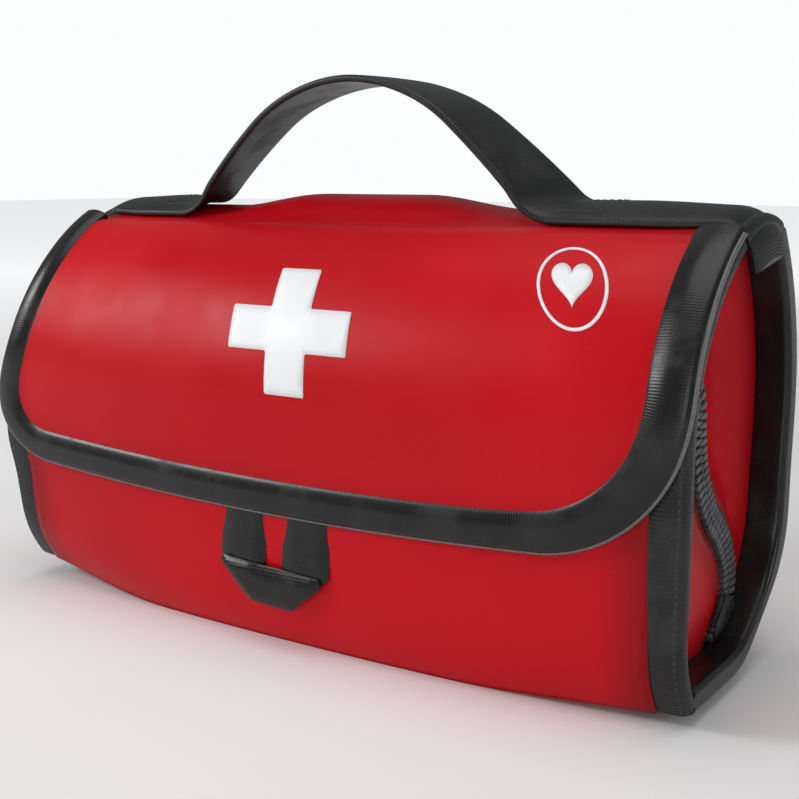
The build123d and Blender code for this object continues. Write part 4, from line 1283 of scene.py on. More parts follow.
def pull_loop():
    """Ribbon that comes down, folds across to a blunt point and goes back up beside itself."""
    middle = (LOOP_LOW.x + LOOP_HIGH.x) / 2
    half = (LOOP_HIGH.x - LOOP_LOW.x) / 2
    tip = half * 0.38
    low = LOOP_LOW.z
    top = LOOP_HINGE + 5 * MM

    def fold_z(x):
        return LOOP_FOLD_LEFT + (LOOP_FOLD_RIGHT - LOOP_FOLD_LEFT) * (x - middle + half) / (2 * half)

    for side, label in ((-1, "left"), (1, "right")):
        outer = middle + side * half
        inner = middle + side * (half - LOOP_STRIP)
        xs = sorted((outer, inner))
        ends = [fold_z(x) - (1.5 * MM if x == outer else 5 * MM) for x in xs]
        corners = [(xs[0], ends[0]), (xs[1], ends[1]), (xs[1], top), (xs[0], top)]
        rim = rounded_rim(corners, 0.4 * MM, 1.5 * MM)
        strip = slab(f"pull_strip_{label}", rim, 2.5 * MM, 1.5 * MM, 1.7 * MM, 0.8 * MM, loop_face)
        dress(strip, None, BINDING_BLACK)
        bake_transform(strip)
    left, right = middle - half, middle + half
    corners = [(middle - tip, low + 0.6 * MM), (middle + tip, low), (right, fold_z(right) - 1.2 * MM),
               (right - 0.8 * MM, fold_z(right)), (left + 0.8 * MM, fold_z(left)),
               (left, fold_z(left) - 1.2 * MM)]
    rim = rounded_rim(corners, 0.5 * MM, 1.2 * MM)
    fold = slab("pull_fold", rim, 2.2 * MM, 2.9 * MM, 2.6 * MM, 1.2 * MM, loop_face)
    dress(fold, "pull_loop", BINDING_BLACK, ("pull_loop",))


# ================ Handle and straps ================

HANDLE_R = 55.0 * MM
HANDLE_BOW = 2.2 * MM     # the legs bow outwards between foot and top
SPREAD_FRONT, SPREAD_REAR = 0.03, 0.16    # the handle's rear edge is longer, so its legs splay
HANDLE_SLOPE = 43.0
FOOT_R = 12.0 * MM
WEBBING = 2.4 * MM
STRAP_Y = STRAP_FRONT + HANDLE_WIDTH / 2
CORNER_R = 11.0 * MM
STRAP_DROOP = 1.2 * MM
CORNER_TURN = 78.0


def top_height(y):
    """Height of the bag's top at a distance from front to back."""
    return np.interp(y, TOP.points[:, 0], TOP.points[:, 1])


def handle_side(strap_end):
    """Middle line (x, z) of one half, from the handle's top down to the strap's turned-down end."""
    rest = float(top_height(STRAP_Y)) + 0.9 * MM + WEBBING / 2
    centre = (0.0, HANDLE_TOP - WEBBING / 2 - HANDLE_R)
    shoulder = point_on(centre, HANDLE_R, 90 - HANDLE_SLOPE)
    knee_z = rest + FOOT_R * (1 - cos(radians(HANDLE_SLOPE)))
    knee = (shoulder[0] + (shoulder[1] - knee_z) / tan(radians(HANDLE_SLOPE)), knee_z)
    foot = point_on(knee, FOOT_R, 90 - HANDLE_SLOPE)
    turn_x = strap_end - CORNER_R
    end = point_on((turn_x, rest - CORNER_R), CORNER_R, 90 - CORNER_TURN)
    down = point_on(end, 5 * MM, -CORNER_TURN)
    return join(
        arc(centre, HANDLE_R, 90, 90 - HANDLE_SLOPE),
        line(shoulder, knee),
        arc(foot, FOOT_R, 270 - HANDLE_SLOPE, 270),
        line((foot[0], rest), (turn_x, rest)),
        arc((turn_x, rest - CORNER_R), CORNER_R, 90, 90 - CORNER_TURN, 1 * MM),
        line(end, down, 1 * MM)), foot[0]


def handle_band():
    """One length of webbing: strap, handle and strap again, sewn along the top edge."""
    right, foot_x = handle_side(SEAM_X + 1.0 * MM - HANDLE_X)
    left, _ = handle_side(SEAM_X + 1.0 * MM + HANDLE_X)
    left = left[::-1] * (-1, 1)
    path = even(join(left, right), 2.0 * MM)
    path[:, 0] += HANDLE_X
    centres = np.stack([path[:, 0], np.full(len(path), STRAP_Y), path[:, 1]], 1)
    tangent = unit(np.gradient(centres, axis=0))
    across = np.tile([0.0, 1.0, 0.0], (len(path), 1))
    out = np.cross(tangent, across)
    shape = section(HANDLE_WIDTH + 0.6 * MM, WEBBING, 1.1 * MM, crown=0.25 * MM)
    far = np.abs(path[:, 0] - HANDLE_X)
    to_end = np.minimum(np.abs(path[:, 0] - SEAM_X), np.abs(path[:, 0] + SEAM_X))
    scale = np.ones((len(path), 2))
    scale[:, 0] = 0.78 + 0.22 * smooth(to_end, -2 * MM, 34 * MM)
    piece = sweep("handle_band", centres, across, out, shape, scale)
    points = coordinates(piece)
    rows = np.repeat(np.arange(len(path)), len(shape))
    lying = smooth(far, foot_x - 12 * MM, foot_x + 6 * MM)[rows]
    profile = top_height(points[:, 1]) - top_height(STRAP_Y)
    points[:, 2] += profile * lying
    from_front = (points[:, 1] - STRAP_FRONT) / HANDLE_WIDTH
    reach = np.clip(points[:, 0] - HANDLE_X, -foot_x, foot_x)
    points[:, 2] -= STRAP_DROOP * smooth(np.abs(path[:, 0]), 98 * MM, SEAM_X)[rows]
    near_handle = 1 - smooth(far, foot_x, foot_x + 40 * MM)[rows]
    points[:, 0] += reach * (SPREAD_FRONT + SPREAD_REAR * from_front) * near_handle
    up = np.clip((points[:, 2] - top_height(STRAP_Y)) / (HANDLE_TOP - top_height(STRAP_Y)), 0, 1)
    side = np.clip((path[:, 0] - HANDLE_X) / (HANDLE_R / 2), -1, 1)[rows]
    points[:, 0] += HANDLE_BOW * np.sin(up * pi) * side * (1 - lying)
    set_coordinates(piece, points)
    dress(piece, None, WEBBING_BLACK,
          ("handle_webbing", "handle_feet", "top_strap_right", "top_strap_left"))
    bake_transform(piece)
    for side in (-1, 1):
        foot_rows(side, foot_x)


def foot_rows(side, foot_x):
    """Box of stitching where the handle's foot is sewn to the bag."""
    label = "right" if side > 0 else "left"
    x0 = HANDLE_X + side * (foot_x + 4 * MM)
    x1 = HANDLE_X + side * (foot_x + 24 * MM)
    y0, y1 = STRAP_Y - HANDLE_WIDTH / 2 + 4 * MM, STRAP_Y + HANDLE_WIDTH / 2 - 4 * MM
    corners = [(x0, y0), (x1, y0), (x1, y1), (x0, y1), (x0, y0), (x1, y1), (x1, y0), (x0, y1)]
    route = []
    for first, last in zip(corners, corners[1:]):
        route.append(line(first, last, 1 * MM)[:-1])
    flat = np.concatenate(route)
    z = top_height(flat[:, 1]) + 0.9 * MM + WEBBING + 0.15 * MM
    path = np.stack([flat[:, 0], flat[:, 1], z], 1)
    thread = stitches(f"foot_stitches_{label}", path, same((0, 0, 1), len(path)), 2.6 * MM)
    dress(thread, "body", THREAD)


# ================ Zip ================

TOOTH_PITCH = 2.7 * MM
TOOTH_WIDTH, TOOTH_HEIGHT = 4.5 * MM, 1.9 * MM


def tooth():
    """One moulded tooth: body, waist and rounded head that reaches past the middle of the zip."""
    half = 0.95 * MM
    outline = [(TOOTH_WIDTH, -half), (TOOTH_WIDTH, half), (1.7 * MM, half), (1.2 * MM, 0.5 * MM),
               (0.3 * MM, 0.68 * MM), (-0.5 * MM, 0.5 * MM), (-0.5 * MM, -0.5 * MM), (0.3 * MM, -0.68 * MM),
               (1.2 * MM, -0.5 * MM), (1.7 * MM, -half)]
    solid = bmesh.new()
    ring = [solid.verts.new((a, b, 0)) for a, b in outline]
    face = solid.faces.new(ring)
    grown = bmesh.ops.extrude_face_region(solid, geom=[face])
    top = [v for v in grown["geom"] if isinstance(v, bmesh.types.BMVert)]
    bmesh.ops.translate(solid, verts=top, vec=(0, 0, TOOTH_HEIGHT))
    bmesh.ops.recalc_face_normals(solid, faces=solid.faces)
    upper = [e for e in solid.edges if all(v.co.z > TOOTH_HEIGHT / 2 for v in e.verts)]
    bmesh.ops.bevel(solid, geom=upper, offset=0.4 * MM, segments=2, affect="EDGES", profile=0.5)
    solid.verts.index_update()
    points = np.array([v.co[:] for v in solid.verts])
    faces = [tuple(v.index for v in f.verts) for f in solid.faces]
    solid.free()
    return points, faces


TOOTH = tooth()


def zip_start():
    """Distance along the zip at which it comes round from the front onto an end wall."""
    return float(np.interp(FRONT_Y + 5 * MM, ZIP.points[:20, 0], ZIP.s[:20]))


def end_tooth_places(side, part):
    """Places of the teeth down one end: part is 1 on the body's side of the zip, -1 on the door's."""
    start = zip_start()
    shift = 0.0 if part > 0 else TOOTH_PITCH / 2
    places = []
    for s in np.arange(start + shift, ZIP.length - 2 * MM, TOOTH_PITCH):
        p, n = ZIP.at(s), ZIP.normal(s) * part
        origin = np.array([side * (GUSSET_X - 0.3 * MM), p[0], p[1]])
        outward = np.array([0, n[0], n[1]])
        up = np.array([side, 0.0, 0.0])
        places.append((origin, outward, np.cross(up, outward), up))
    return places


def front_tooth_places(part):
    """Places of the teeth along the front, on the body's side (1) or the door's side (-1)."""
    s = FRONT.where_z(ZIP_Z)
    n = FRONT.normal(s)
    shift = 0.0 if part > 0 else TOOTH_PITCH / 2
    places = []
    for x in np.arange(-GUSSET_X + 9 * MM + shift, GUSSET_X - 9 * MM, TOOTH_PITCH):
        origin = on_front(x, s, -4.3 * MM)
        up = np.array([0, n[0], n[1]])
        outward = np.array([0, -n[1], n[0]]) * -part
        places.append((origin, outward, np.cross(up, outward), up))
    return places


def zip_rows():
    """The two rows of teeth: one stays with the body, one swings with the door."""
    for part, label, body in ((1, "body", "body"), (-1, "door", "door")):
        places = front_tooth_places(part) + end_tooth_places(1, part) + end_tooth_places(-1, part)
        row = many(f"{label}_teeth", *TOOTH, places)
        dress(row, body, TEETH, (f"{label}_zip_teeth",))


def ribbon_strip(name, near, far, thick, body, replaces=()):
    """Flat strip of cloth between two runs of points in space."""
    rows = len(near)
    share = np.linspace(0, 1, 5)
    points = near[:, None] + (far - near)[:, None] * share[None, :, None]
    width = float(np.linalg.norm(far[0] - near[0]))
    piece = make(name, points.reshape(-1, 3), grid_faces(rows, 5),
                 {"along": np.repeat(distances(near), 5), "across": np.tile(share * width, rows)})
    thicken(piece, thick, offset=0.0)
    return dress(piece, body, TAPE, replaces)


def zip_tapes():
    """Cloth tapes on both sides of the teeth, with a row of stitches down each end."""
    s = np.arange(zip_start(), ZIP.length, 2 * MM)
    xs = np.linspace(-GUSSET_X + 8 * MM, GUSSET_X - 8 * MM, 90)
    middle = FRONT.where_z(ZIP_Z)
    for part, label in ((1, "body"), (-1, "door")):
        for side, end in ((1, "right"), (-1, "left")):
            x = side * (GUSSET_X - 0.7 * MM)
            near = in_space(x, ZIP.at(s, part * 0.4 * MM))
            far = in_space(x - side * 1.8 * MM, ZIP.at(s, part * 9 * MM))
            ribbon_strip(f"{label}_end_tape_{end}", near, far, 0.6 * MM, label)
            path = in_space(side * (GUSSET_X + 0.1 * MM), ZIP.at(s, part * (TAPE_EDGE + 1.6 * MM)))
            thread = stitches(f"{label}_zip_stitches_{end}", path, same((side, 0, 0), len(s)),
                              2.6 * MM, 1.9 * MM, 0.6 * MM)
            dress(thread, label, THREAD)
        near = on_front(xs, np.full(90, middle + part * 0.8 * MM), -4.6 * MM)
        far = on_front(xs, np.full(90, middle + part * 9 * MM), -4.6 * MM)
        ribbon_strip(f"{label}_front_tape", near, far, 0.6 * MM, label, (f"{label}_zip_tape",))


def zip_tabs():
    """Short webbing tab over the foot of the zip at each end."""
    corners = [(3 * MM, 8.6 * MM), (13 * MM, 12.4 * MM), (20.5 * MM, 19 * MM), (12.5 * MM, 25 * MM),
               (4 * MM, 15 * MM)]
    for side, label in ((1, "right"), (-1, "left")):
        def place(y, z, lift, side=side):
            x = np.full(np.shape(y), side * (GUSSET_X + TOOTH_HEIGHT + 0.9 * MM)) + side * lift
            return np.stack([x, y, z], -1)
        tab = slab(f"zip_tab_cover_{label}", rounded_rim(corners, 1.5 * MM), 1.8 * MM, 0.0, 1.8 * MM,
                   0.9 * MM, place)
        dress(tab, "body", WEBBING_BLACK, (f"zip_tab_{label}",))


PIPING_R = 1.3 * MM


def back_piping():
    """Piping and a row of stitches along the top rear edge, where the flap's cloth is sewn down."""
    xs = np.arange(-GUSSET_X + 2 * MM, GUSSET_X - 2 * MM, 3 * MM)
    path = in_space(xs, same(COVER.at(COVER.length - 0.6 * MM, 0.4 * MM), len(xs)))
    dress(tube("back_piping", path, PIPING_R), "body", SEAM_BLACK)
    row = in_space(xs, same(COVER.at(COVER.length - 4 * MM, 0.5 * MM), len(xs)))
    thread = stitches("back_stitches", row, same((0.0, 0.2, 0.98), len(xs)), 3.2 * MM)
    dress(thread, "body", THREAD)


cover_tree = flap_cover()
flap_border()
flap_edge_highlight_cord()
cross_print()
badge_print()
pull_loop()
handle_band()
zip_rows()
zip_tapes()
zip_tabs()

# ================ Fastener and pockets ================

HOOK = hook_pile("hook_and_loop", (26, 26, 27))
NET = plain_black("black_net", (30, 30, 32), 0.6)
HEM = herringbone("pocket_hem", (28, 28, 30), (46, 46, 48))


def front_strip(name, node, outset, body, surface, thick=0.9 * MM):
    """Strip of fastener tape that follows the front at a CAD node's place."""
    low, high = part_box(node)
    xs = np.linspace(low.x, high.x, 40)
    s = np.linspace(FRONT.where_z(low.z), FRONT.where_z(high.z), 9)
    x, along = np.meshgrid(xs, s)
    points = on_front(x, along, outset).reshape(-1, 3)
    piece = make(name, points, grid_faces(len(s), len(xs)), {"along": x.ravel(), "across": along.ravel()})
    thicken(piece, thick, offset=0.0)
    return dress(piece, body, surface, (node,))


def net(name, across, up, place, cell=3.2 * MM, thread=0.32 * MM):
    """Diamond net of round threads over a surface function place(u, v), between two u and v limits."""
    columns = int((across[1] - across[0]) / cell)
    rows = int((up[1] - up[0]) / (cell * 0.6))
    step_u = (across[1] - across[0]) / columns
    step_v = (up[1] - up[0]) / rows
    us, vs, edges = [], [], []
    for j in range(rows + 1):
        shift = 0.5 if j % 2 else 0.0
        for i in range(columns + 1):
            us.append(across[0] + step_u * min(i + shift, columns))
            vs.append(up[0] + step_v * j)
            here = j * (columns + 1) + i
            beside = i - 1 if j % 2 == 0 else i + 1
            if j < rows:
                edges.append((here, here + columns + 1))
                if 0 <= beside <= columns:
                    edges.append((here, here + columns + 1 + beside - i))
    mesh = bpy.data.meshes.new(name)
    mesh.from_pydata([tuple(p) for p in place(np.array(us), np.array(vs))], edges, [])
    piece = bpy.data.objects.new(name, mesh)
    bpy.context.scene.collection.objects.link(piece)
    skin = piece.modifiers.new("threads", "SKIN")
    skin.use_smooth_shade = True
    for vertex in mesh.skin_vertices[0].data:
        vertex.radius = (thread / 2, thread / 2)
    return mend(settle_modifiers(piece))


def tube(name, path, radius, sides=8):
    """Round cord along a path."""
    path = np.asarray(path, float)
    guide = np.array([0.13, 0.21, 0.97])     # along no path, so that it always gives a direction
    tangent = unit(np.gradient(path, axis=0))
    across = unit(np.cross(tangent, guide))
    return sweep(name, path, across, np.cross(across, tangent), circle(radius, sides))


def tape_band(name, path, out, width, thick, body, surface, replaces=()):
    """Flat tape along a path, facing out."""
    across, out = path_frame(np.asarray(path, float), np.asarray(out, float))
    piece = sweep(name, path, across, out, section(width, thick, thick * 0.45))
    return dress(piece, body, surface, replaces)


def door_pocket():
    """Net pocket inside the drop front, bound along its top and foot; the cards of plasters in it are made by
    plaster_cards.
    """
    low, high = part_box("door_pocket")
    depth = -6.6 * MM

    def place(u, v):
        return on_front(u, FRONT.where_z(v), depth)

    piece = net("door_pocket_net", (low.x, high.x), (low.z + 2 * MM, high.z - 2 * MM), place, cell=4.2 * MM)
    dress(piece, "door", NET, ("door_pocket",))
    xs = np.linspace(low.x, high.x, 60)
    for label, z in (("top", high.z - 2 * MM), ("foot", low.z + 2 * MM)):
        s = np.full(len(xs), FRONT.where_z(z))
        tape_band(f"door_pocket_{label}", on_front(xs, s, depth), in_space(0.0, FRONT.normal(s)),
                  6 * MM, 1.0 * MM, "door", HEM)


PLASTER_PAPER = flat_print("plaster_paper", (236, 232, 222), (222, 214, 200), 0.6)
PLASTER_TAN = cotton("plaster_tan", (214, 170, 130), (196, 150, 112), 0.6 * MM)


CARD_WIDTH, CARD_DEPTH = 46 * MM, -4.1 * MM
PLASTERS = 4                              # on each card
PLASTER_FOOT, PLASTER_PITCH = 8 * MM, 12 * MM
PLASTER_WIDE, PLASTER_TALL = 36 * MM, 9 * MM


def plaster_cards():
    """Three cards of plasters in the door's net pocket."""
    low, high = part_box("plaster_cards")

    def place(x, z, lift):
        return on_front(x, FRONT.where_z(z), CARD_DEPTH - lift)

    centres = [low.x + 24 * MM, (low.x + high.x) / 2, high.x - 24 * MM]
    for number, centre in enumerate(centres, 1):
        corners = corners_of(centre - CARD_WIDTH / 2, low.z, centre + CARD_WIDTH / 2, high.z)
        card = slab(f"plaster_card_{number}", rounded_rim(corners, 2 * MM, 2 * MM), 3.5 * MM, 0.0,
                    0.8 * MM, 0.4 * MM, place)
        dress(card, "door", PLASTER_PAPER, ("plaster_cards",))
        for k in range(PLASTERS):
            z = low.z + PLASTER_FOOT + k * PLASTER_PITCH
            corners = corners_of(centre - PLASTER_WIDE / 2, z, centre + PLASTER_WIDE / 2, z + PLASTER_TALL)
            strip = slab(f"plaster_{number}_{k + 1}", rounded_rim(corners, 4 * MM, 1.5 * MM), 2.5 * MM,
                         0.9 * MM, 0.7 * MM, 0.5 * MM, place)
            dress(strip, "door", PLASTER_TAN)


# ================ Contents ================

BOARD_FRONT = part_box("organiser_board")[0].y
LINER = plain_black("lining_board", (58, 58, 62), 0.8)
ELASTIC = herringbone("elastic", (30, 30, 32), (54, 54, 56))
STEEL = brushed_steel("steel", (190, 192, 194), 0.3)
WHITE_PLASTIC = flat_print("white_plastic", (236, 238, 240), (226, 229, 232), 0.32)
GAUZE = cotton("gauze", (240, 238, 232), (214, 210, 200), 1.1 * MM)
COHESIVE = cotton("cohesive", (78, 126, 178), (52, 96, 150), 1.6 * MM)
ADHESIVE = flat_print("adhesive_tape", (238, 236, 230), (226, 222, 214), 0.55)
CARD = flat_print("card", (176, 148, 112), (160, 130, 96), 0.8)
STERILE = flat_print("sterile_paper", (232, 236, 240), (214, 222, 230), 0.6)
CLEAR = film("packet_clear", (222, 228, 232), (202, 210, 216), 0.22)
BLUE = film("packet_blue", (60, 120, 180), (44, 98, 158), 0.3)
GREEN = film("packet_green", (64, 150, 112), (46, 126, 92), 0.35)
FOIL = film("foil", (226, 190, 116), (206, 168, 98), 0.34, 0.75)


def board():
    """Padded divider that carries the instruments, with a bound edge."""
    low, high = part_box("organiser_board")
    corners = corners_of(low.x, low.z, high.x, high.z)
    middle, thick = (low.y + high.y) / 2, high.y - low.y

    def place(x, z, lift):
        return np.stack([x, np.full(np.shape(x), middle) - lift, z], -1)

    piece = slab("organiser_skin", rounded_rim(corners, 8 * MM, 3 * MM), 6 * MM, 0.0, thick, 1.2 * MM, place)
    dress(piece, "body", LINER, ("organiser_board",))
    rim = rounded_rim(corners, 8 * MM, 2.5 * MM)
    path = np.stack([rim[:, 0], np.full(len(rim), middle), rim[:, 1]], 1)
    path = np.concatenate([path, path[:1]])
    edge = tube("organiser_edge", path, 1.5 * MM)
    dress(edge, "body", HEM)


def lathe(name, profile, y, z, body, surface, replaces=(), step_in=0.0):
    """Body turned about a line along x, from (x, radius) points; step_in makes a wound end seam."""
    turns = 72
    profile = np.asarray(profile, float)
    angles = np.linspace(0, 2 * pi, turns, endpoint=False)
    rows = []
    for angle in angles:
        r = profile[:, 1] * (1 - step_in * angle / (2 * pi))
        rows.append(np.stack([profile[:, 0], y + r * cos(angle + 2.2), z + r * sin(angle + 2.2)], 1))
    points = np.concatenate(rows)
    columns = len(profile)
    faces = []
    for i in range(turns):
        for j in range(columns - 1):
            k = (i + 1) % turns
            faces.append((i * columns + j, i * columns + j + 1, k * columns + j + 1, k * columns + j))
    along = np.repeat(angles * profile[:, 1].max(), columns)
    piece = make(name, points, faces, {"along": along, "across": np.tile(profile[:, 0], turns)}, sharp=40)
    return dress(mend(piece, 0.02 * MM), body, surface, replaces)


def wound_profile(low_x, high_x, radius, core, layer):
    """Profile of a wound roll: each layer stands a little differently at the two ends."""
    count = int((radius - core) / layer)
    radii = np.linspace(core, radius, 2 * count + 1)
    ripple = 0.5 * MM * np.abs(np.sin(np.arange(2 * count + 1) * pi / 2)) + 0.25 * MM * np.sin(radii * 900)
    left = np.stack([low_x + 0.6 * MM - ripple, radii], 1)
    right = np.stack([high_x - 0.6 * MM + ripple, radii], 1)[::-1]
    xs = np.linspace(low_x + 2 * MM, high_x - 2 * MM, 12)
    belly = radius - 0.3 * MM + 0.3 * MM * np.sin((xs - low_x) * 260)
    middle = np.stack([xs, belly], 1)
    return np.concatenate([left, middle, right])


def roll(name, node, core, layer, surface, step_in=0.03):
    """Wound roll in a CAD roll's place, solid or round a core."""
    low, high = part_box(node)
    y, z = (low.y + high.y) / 2, (low.z + high.z) / 2
    profile = wound_profile(low.x, high.x, (high.z - low.z) / 2, core, layer)
    if core < 1 * MM:
        profile = np.concatenate([[(low.x + 0.6 * MM, 1e-5)], profile, [(high.x - 0.6 * MM, 1e-5)]])
    else:
        profile = np.concatenate([profile, profile[:1]])
    return lathe(name, profile, y, z, "body", surface, (node,), step_in)


def pillow(name, node, surface, crimp=3.5 * MM, pressure=5.0):
    """Sealed packet: two films crimped together round the edge and swollen by what is inside."""
    low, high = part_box(node)
    size = high - low
    flat_axis = min(range(3), key=lambda k: size[k])
    a, b = [k for k in range(3) if k != flat_axis]
    rim = rounded_rim(corners_of(low[a], low[b], high[a], high[b]), 2.0 * MM, 2.2 * MM)
    flat, faces, edge = fill(rim, 2.8 * MM)
    middle = (low[flat_axis] + high[flat_axis]) / 2
    half = size[flat_axis] / 2
    rise = half * 0.8 * smooth(edge, crimp * 0.6, crimp + half * 1.4) + 0.12 * MM
    wave = 0.25 * MM * np.sin(flat[:, 0] * 2 * pi / (2.4 * MM)) * (edge < crimp)
    count = len(flat)
    points = np.zeros((2 * count, 3))
    for layer, sign in ((0, 1), (1, -1)):
        part = slice(layer * count, (layer + 1) * count)
        points[part, a], points[part, b] = flat[:, 0], flat[:, 1]
        points[part, flat_axis] = middle + sign * rise + wave
    piece = make(name, points, both_layers(faces, edge),
                 {"along": np.tile(flat[:, 0], 2), "across": np.tile(flat[:, 1], 2)}, sharp=60)
    mend(piece)
    here = coordinates(piece)
    gap = rim_distance(here[:, [a, b]], rim)
    billow(piece, np.where(gap < crimp)[0], pressure, 2.0 * MM, 14)
    return dress(piece, "body", surface, (node,))


def dressings():
    """Two flat sterile dressings in paper packets, standing in the net pocket."""
    for number in (1, 2):
        pillow(f"dressing_packet_{number}", f"dressing_{number}", STERILE, 5 * MM, 3.0)


def net_pocket():
    """Net pocket on the divider, hemmed at its top and foot."""
    low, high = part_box("mesh_pocket")

    def place(u, v):
        bulge = 1.5 * MM * np.sin(np.clip((u - low.x) / (high.x - low.x), 0, 1) * pi)
        return np.stack([u, np.full(len(u), low.y + 1 * MM) - bulge, v], -1)

    piece = net("pocket_net", (low.x, high.x), (low.z, high.z - 3 * MM), place)
    dress(piece, "body", NET, ("mesh_pocket",))
    inset = 0.8 * MM
    rim = [(low.x + inset, high.y), (low.x + inset, low.y + inset), (high.x - inset, low.y + inset),
           (high.x - inset, high.y)]
    for label, z in (("top", high.z - 3 * MM), ("foot", low.z + 2 * MM)):
        route = join(*[line(first, last, 2 * MM) for first, last in zip(rim, rim[1:])])
        path = np.stack([route[:, 0], route[:, 1], np.full(len(route), z)], 1)
        hoop = sweep(f"pocket_{label}_hem", path, same((0, 0, 1), len(path)),
                     unit(np.cross(np.gradient(path, axis=0), [0, 0, 1.0])),
                     section(6 * MM, 1.2 * MM, 0.5 * MM))
        dress(hoop, "body", HEM)


def elastic_band():
    """Elastic sewn down between the instruments, so that it holds each in a loop."""
    low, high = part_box("elastic_loops")
    z = (low.z + high.z) / 2
    tips = [low.x + 1 * MM, (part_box("tweezers")[1].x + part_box("thermometer")[0].x) / 2, high.x - 1 * MM]
    xs, ys = [], []
    for first, last in zip(tips, tips[1:]):
        t = np.linspace(0, 1, 24)
        xs.append(first + (last - first) * t)
        ys.append(BOARD_FRONT - 0.8 * MM - (BOARD_FRONT - low.y - 1.4 * MM) * np.sin(t * pi) ** 0.6)
    path = np.stack([np.concatenate(xs), np.concatenate(ys), np.full(48, z)], 1)
    path = even(path, 1.2 * MM)
    tangent = unit(np.gradient(path, axis=0))
    up = same((0, 0, 1), len(path))
    band = sweep("elastic_band", path, up, unit(np.cross(tangent, up)),
                 section(high.z - low.z, 0.9 * MM, 0.4 * MM))
    dress(band, "body", ELASTIC, ("elastic_loops",))


ARM_STEPS = 40
ARM_SPREAD, ARM_GAP = 4.2 * MM, 0.7 * MM


def tweezers_pair():
    """Two spring arms joined at the top, meeting at slanted tips."""
    low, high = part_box("tweezers")
    x, y = (low.x + high.x) / 2, (low.y + high.y) / 2
    t = np.linspace(0, 1, ARM_STEPS)
    spread = ARM_SPREAD * np.sin(pi * t ** 1.4) * (1 - 0.35 * t)
    across = same((0, 1, 0), ARM_STEPS)
    scale = np.ones((ARM_STEPS, 2))
    scale[:, 0] = 1 - 0.72 * smooth(t, 0.55, 1.0)
    for side, label in ((-1, "left"), (1, "right")):
        arm_x = x + side * (ARM_GAP + spread * 0.9)
        path = np.stack([arm_x, np.full(ARM_STEPS, y), high.z - (high.z - low.z) * t], 1)
        out = unit(np.cross(np.gradient(path, axis=0), across))
        arm = sweep(f"tweezer_arm_{label}", path, across, out, section(4.0 * MM, 0.9 * MM, 0.35 * MM), scale)
        dress(arm, "body", STEEL, ("tweezers",))


CASE_STEPS = 60
CASE_HALF = 5.4 * MM
SHOULDER, TIP = 2.9 * MM, 1.2 * MM        # how much narrower the case is after each of its two steps
WINDOW_HALF, WINDOW_DOWN, WINDOW_TALL = 3.2 * MM, 30 * MM, 16 * MM


def thermometer_case():
    """Digital thermometer: tapered case with a display window."""
    low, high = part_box("thermometer")
    x, y = (low.x + high.x) / 2, (low.y + high.y) / 2
    t = np.linspace(0, 1, CASE_STEPS)
    width = CASE_HALF - SHOULDER * smooth(t, 0.55, 0.78) - TIP * smooth(t, 0.78, 1.0)
    width *= np.sqrt(np.clip(1 - (1 - np.clip(t / 0.05, 0, 1)) ** 2, 0.02, 1))
    z = high.z - (high.z - low.z) * t
    path = np.stack([np.full(CASE_STEPS, x), np.full(CASE_STEPS, y), z], 1)
    scale = np.stack([width / CASE_HALF, 0.45 + 0.55 * width / CASE_HALF], 1)
    shape = section(2 * CASE_HALF, 6.2 * MM, 2.6 * MM, 5, 0.3 * MM)
    case = sweep("thermometer_case", path, same((1, 0, 0), CASE_STEPS), same((0, -1, 0), CASE_STEPS),
                 shape, scale)
    dress(case, "body", WHITE_PLASTIC, ("thermometer",))

    def place(u, v, lift):
        return np.stack([u, np.full(np.shape(u), y - 3.3 * MM) - lift, v], -1)

    foot = high.z - WINDOW_DOWN
    rim = rounded_rim(corners_of(x - WINDOW_HALF, foot, x + WINDOW_HALF, foot + WINDOW_TALL), 1.2 * MM)
    window = slab("thermometer_window", rim, 1.6 * MM, 0.1 * MM, 0.7 * MM, 0.4 * MM, place)
    dress(window, "body", CLEAR)


def tape_core():
    """Card core of the tape roll, with eased edges."""
    low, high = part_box("tape_core")
    y, z, outer = (low.y + high.y) / 2, (low.z + high.z) / 2, (high.z - low.z) / 2
    inner, ease = outer - 1.3 * MM, 0.3 * MM
    profile = [(low.x + ease, inner), (low.x, inner + ease), (low.x, outer - ease), (low.x + ease, outer),
               (high.x - ease, outer), (high.x, outer - ease), (high.x, inner + ease), (high.x - ease, inner),
               (low.x + ease, inner)]
    lathe("card_core", profile, y, z, "body", CARD, ("tape_core",))


WIPES, WIPE_PITCH, WIPE_THICK = 3, 10 * MM, 9 * MM


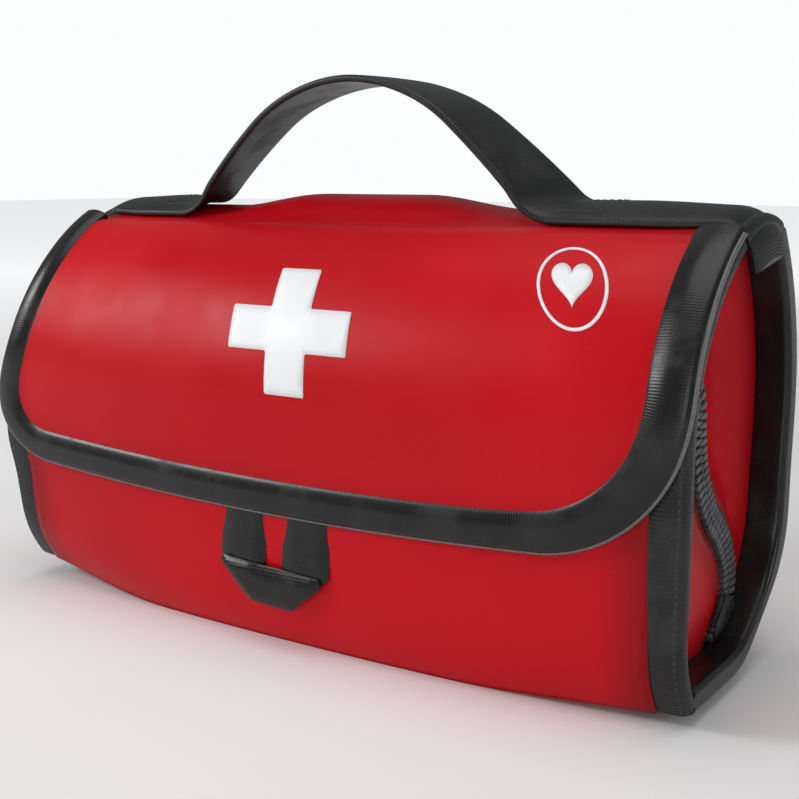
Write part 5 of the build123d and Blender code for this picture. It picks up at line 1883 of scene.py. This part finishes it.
def wipe_packets():
    """Three wipe sachets on edge, crimped at the top and bottom."""
    low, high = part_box("wipes")
    rim = rounded_rim(corners_of(low.x, low.z, high.x, high.z), 1.0 * MM, 1.6 * MM)
    swell = (WIPE_THICK - 1.6 * MM) / 2
    for number in range(WIPES):
        middle = low.y + number * WIPE_PITCH + WIPE_THICK / 2

        def place(x, z, lift):
            ends = np.minimum(z - low.z, high.z - z)
            sides = np.minimum(x - low.x, high.x - x)
            full = smooth(ends, 1.5 * MM, 12 * MM) * smooth(sides, -1 * MM, 4 * MM)
            wave = 0.3 * MM * np.sin(x * 2 * pi / (2.0 * MM)) * (1 - smooth(ends, 2 * MM, 4 * MM))
            return np.stack([x, middle + np.sign(lift) * (np.abs(lift) + swell * full) + wave, z], -1)

        piece = slab(f"wipe_packet_{number + 1}", rim, 1.6 * MM, 0.0, 0.5 * MM, 0.4 * MM, place)
        dress(piece, "body", GREEN, ("wipes",))


def metal_parts():
    """Steel on the CAD parts whose shape is already right: scissors, zip slider and its pull."""
    for node in ("scissor_front", "scissor_back", "scissor_pivot", "zip_slider", "zip_pull"):
        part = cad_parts[node]
        for slot in part.material_slots:
            slot.material = STEEL
        if not part.material_slots:
            part.data.materials.append(STEEL)


back_piping()
front_strip("hook_tape", "hook_strip", FLAP_GAP - 0.3 * MM, "flap", HOOK)
front_strip("loop_tape", "loop_strip", 0.5 * MM, "door", HOOK)
door_pocket()
plaster_cards()
board()
dressings()
net_pocket()
elastic_band()
tweezers_pair()
thermometer_case()
roll("gauze_wound_1", "gauze_roll_1", 0.0, 1.3 * MM, GAUZE)
roll("gauze_wound_2", "gauze_roll_2", 0.0, 1.3 * MM, GAUZE)
roll("tape_wound", "tape_roll", 12.0 * MM, 0.9 * MM, ADHESIVE, 0.01)
roll("cohesive_wound", "cohesive_bandage", 0.0, 1.5 * MM, COHESIVE)
tape_core()
pillow("triangular_packet", "triangular_bandage", CLEAR)
pillow("cold_packet", "cold_pack", BLUE)
pillow("blanket_packet", "rescue_blanket", FOIL)
pillow("glove_packet", "glove_pack", CLEAR)
wipe_packets()
metal_parts()
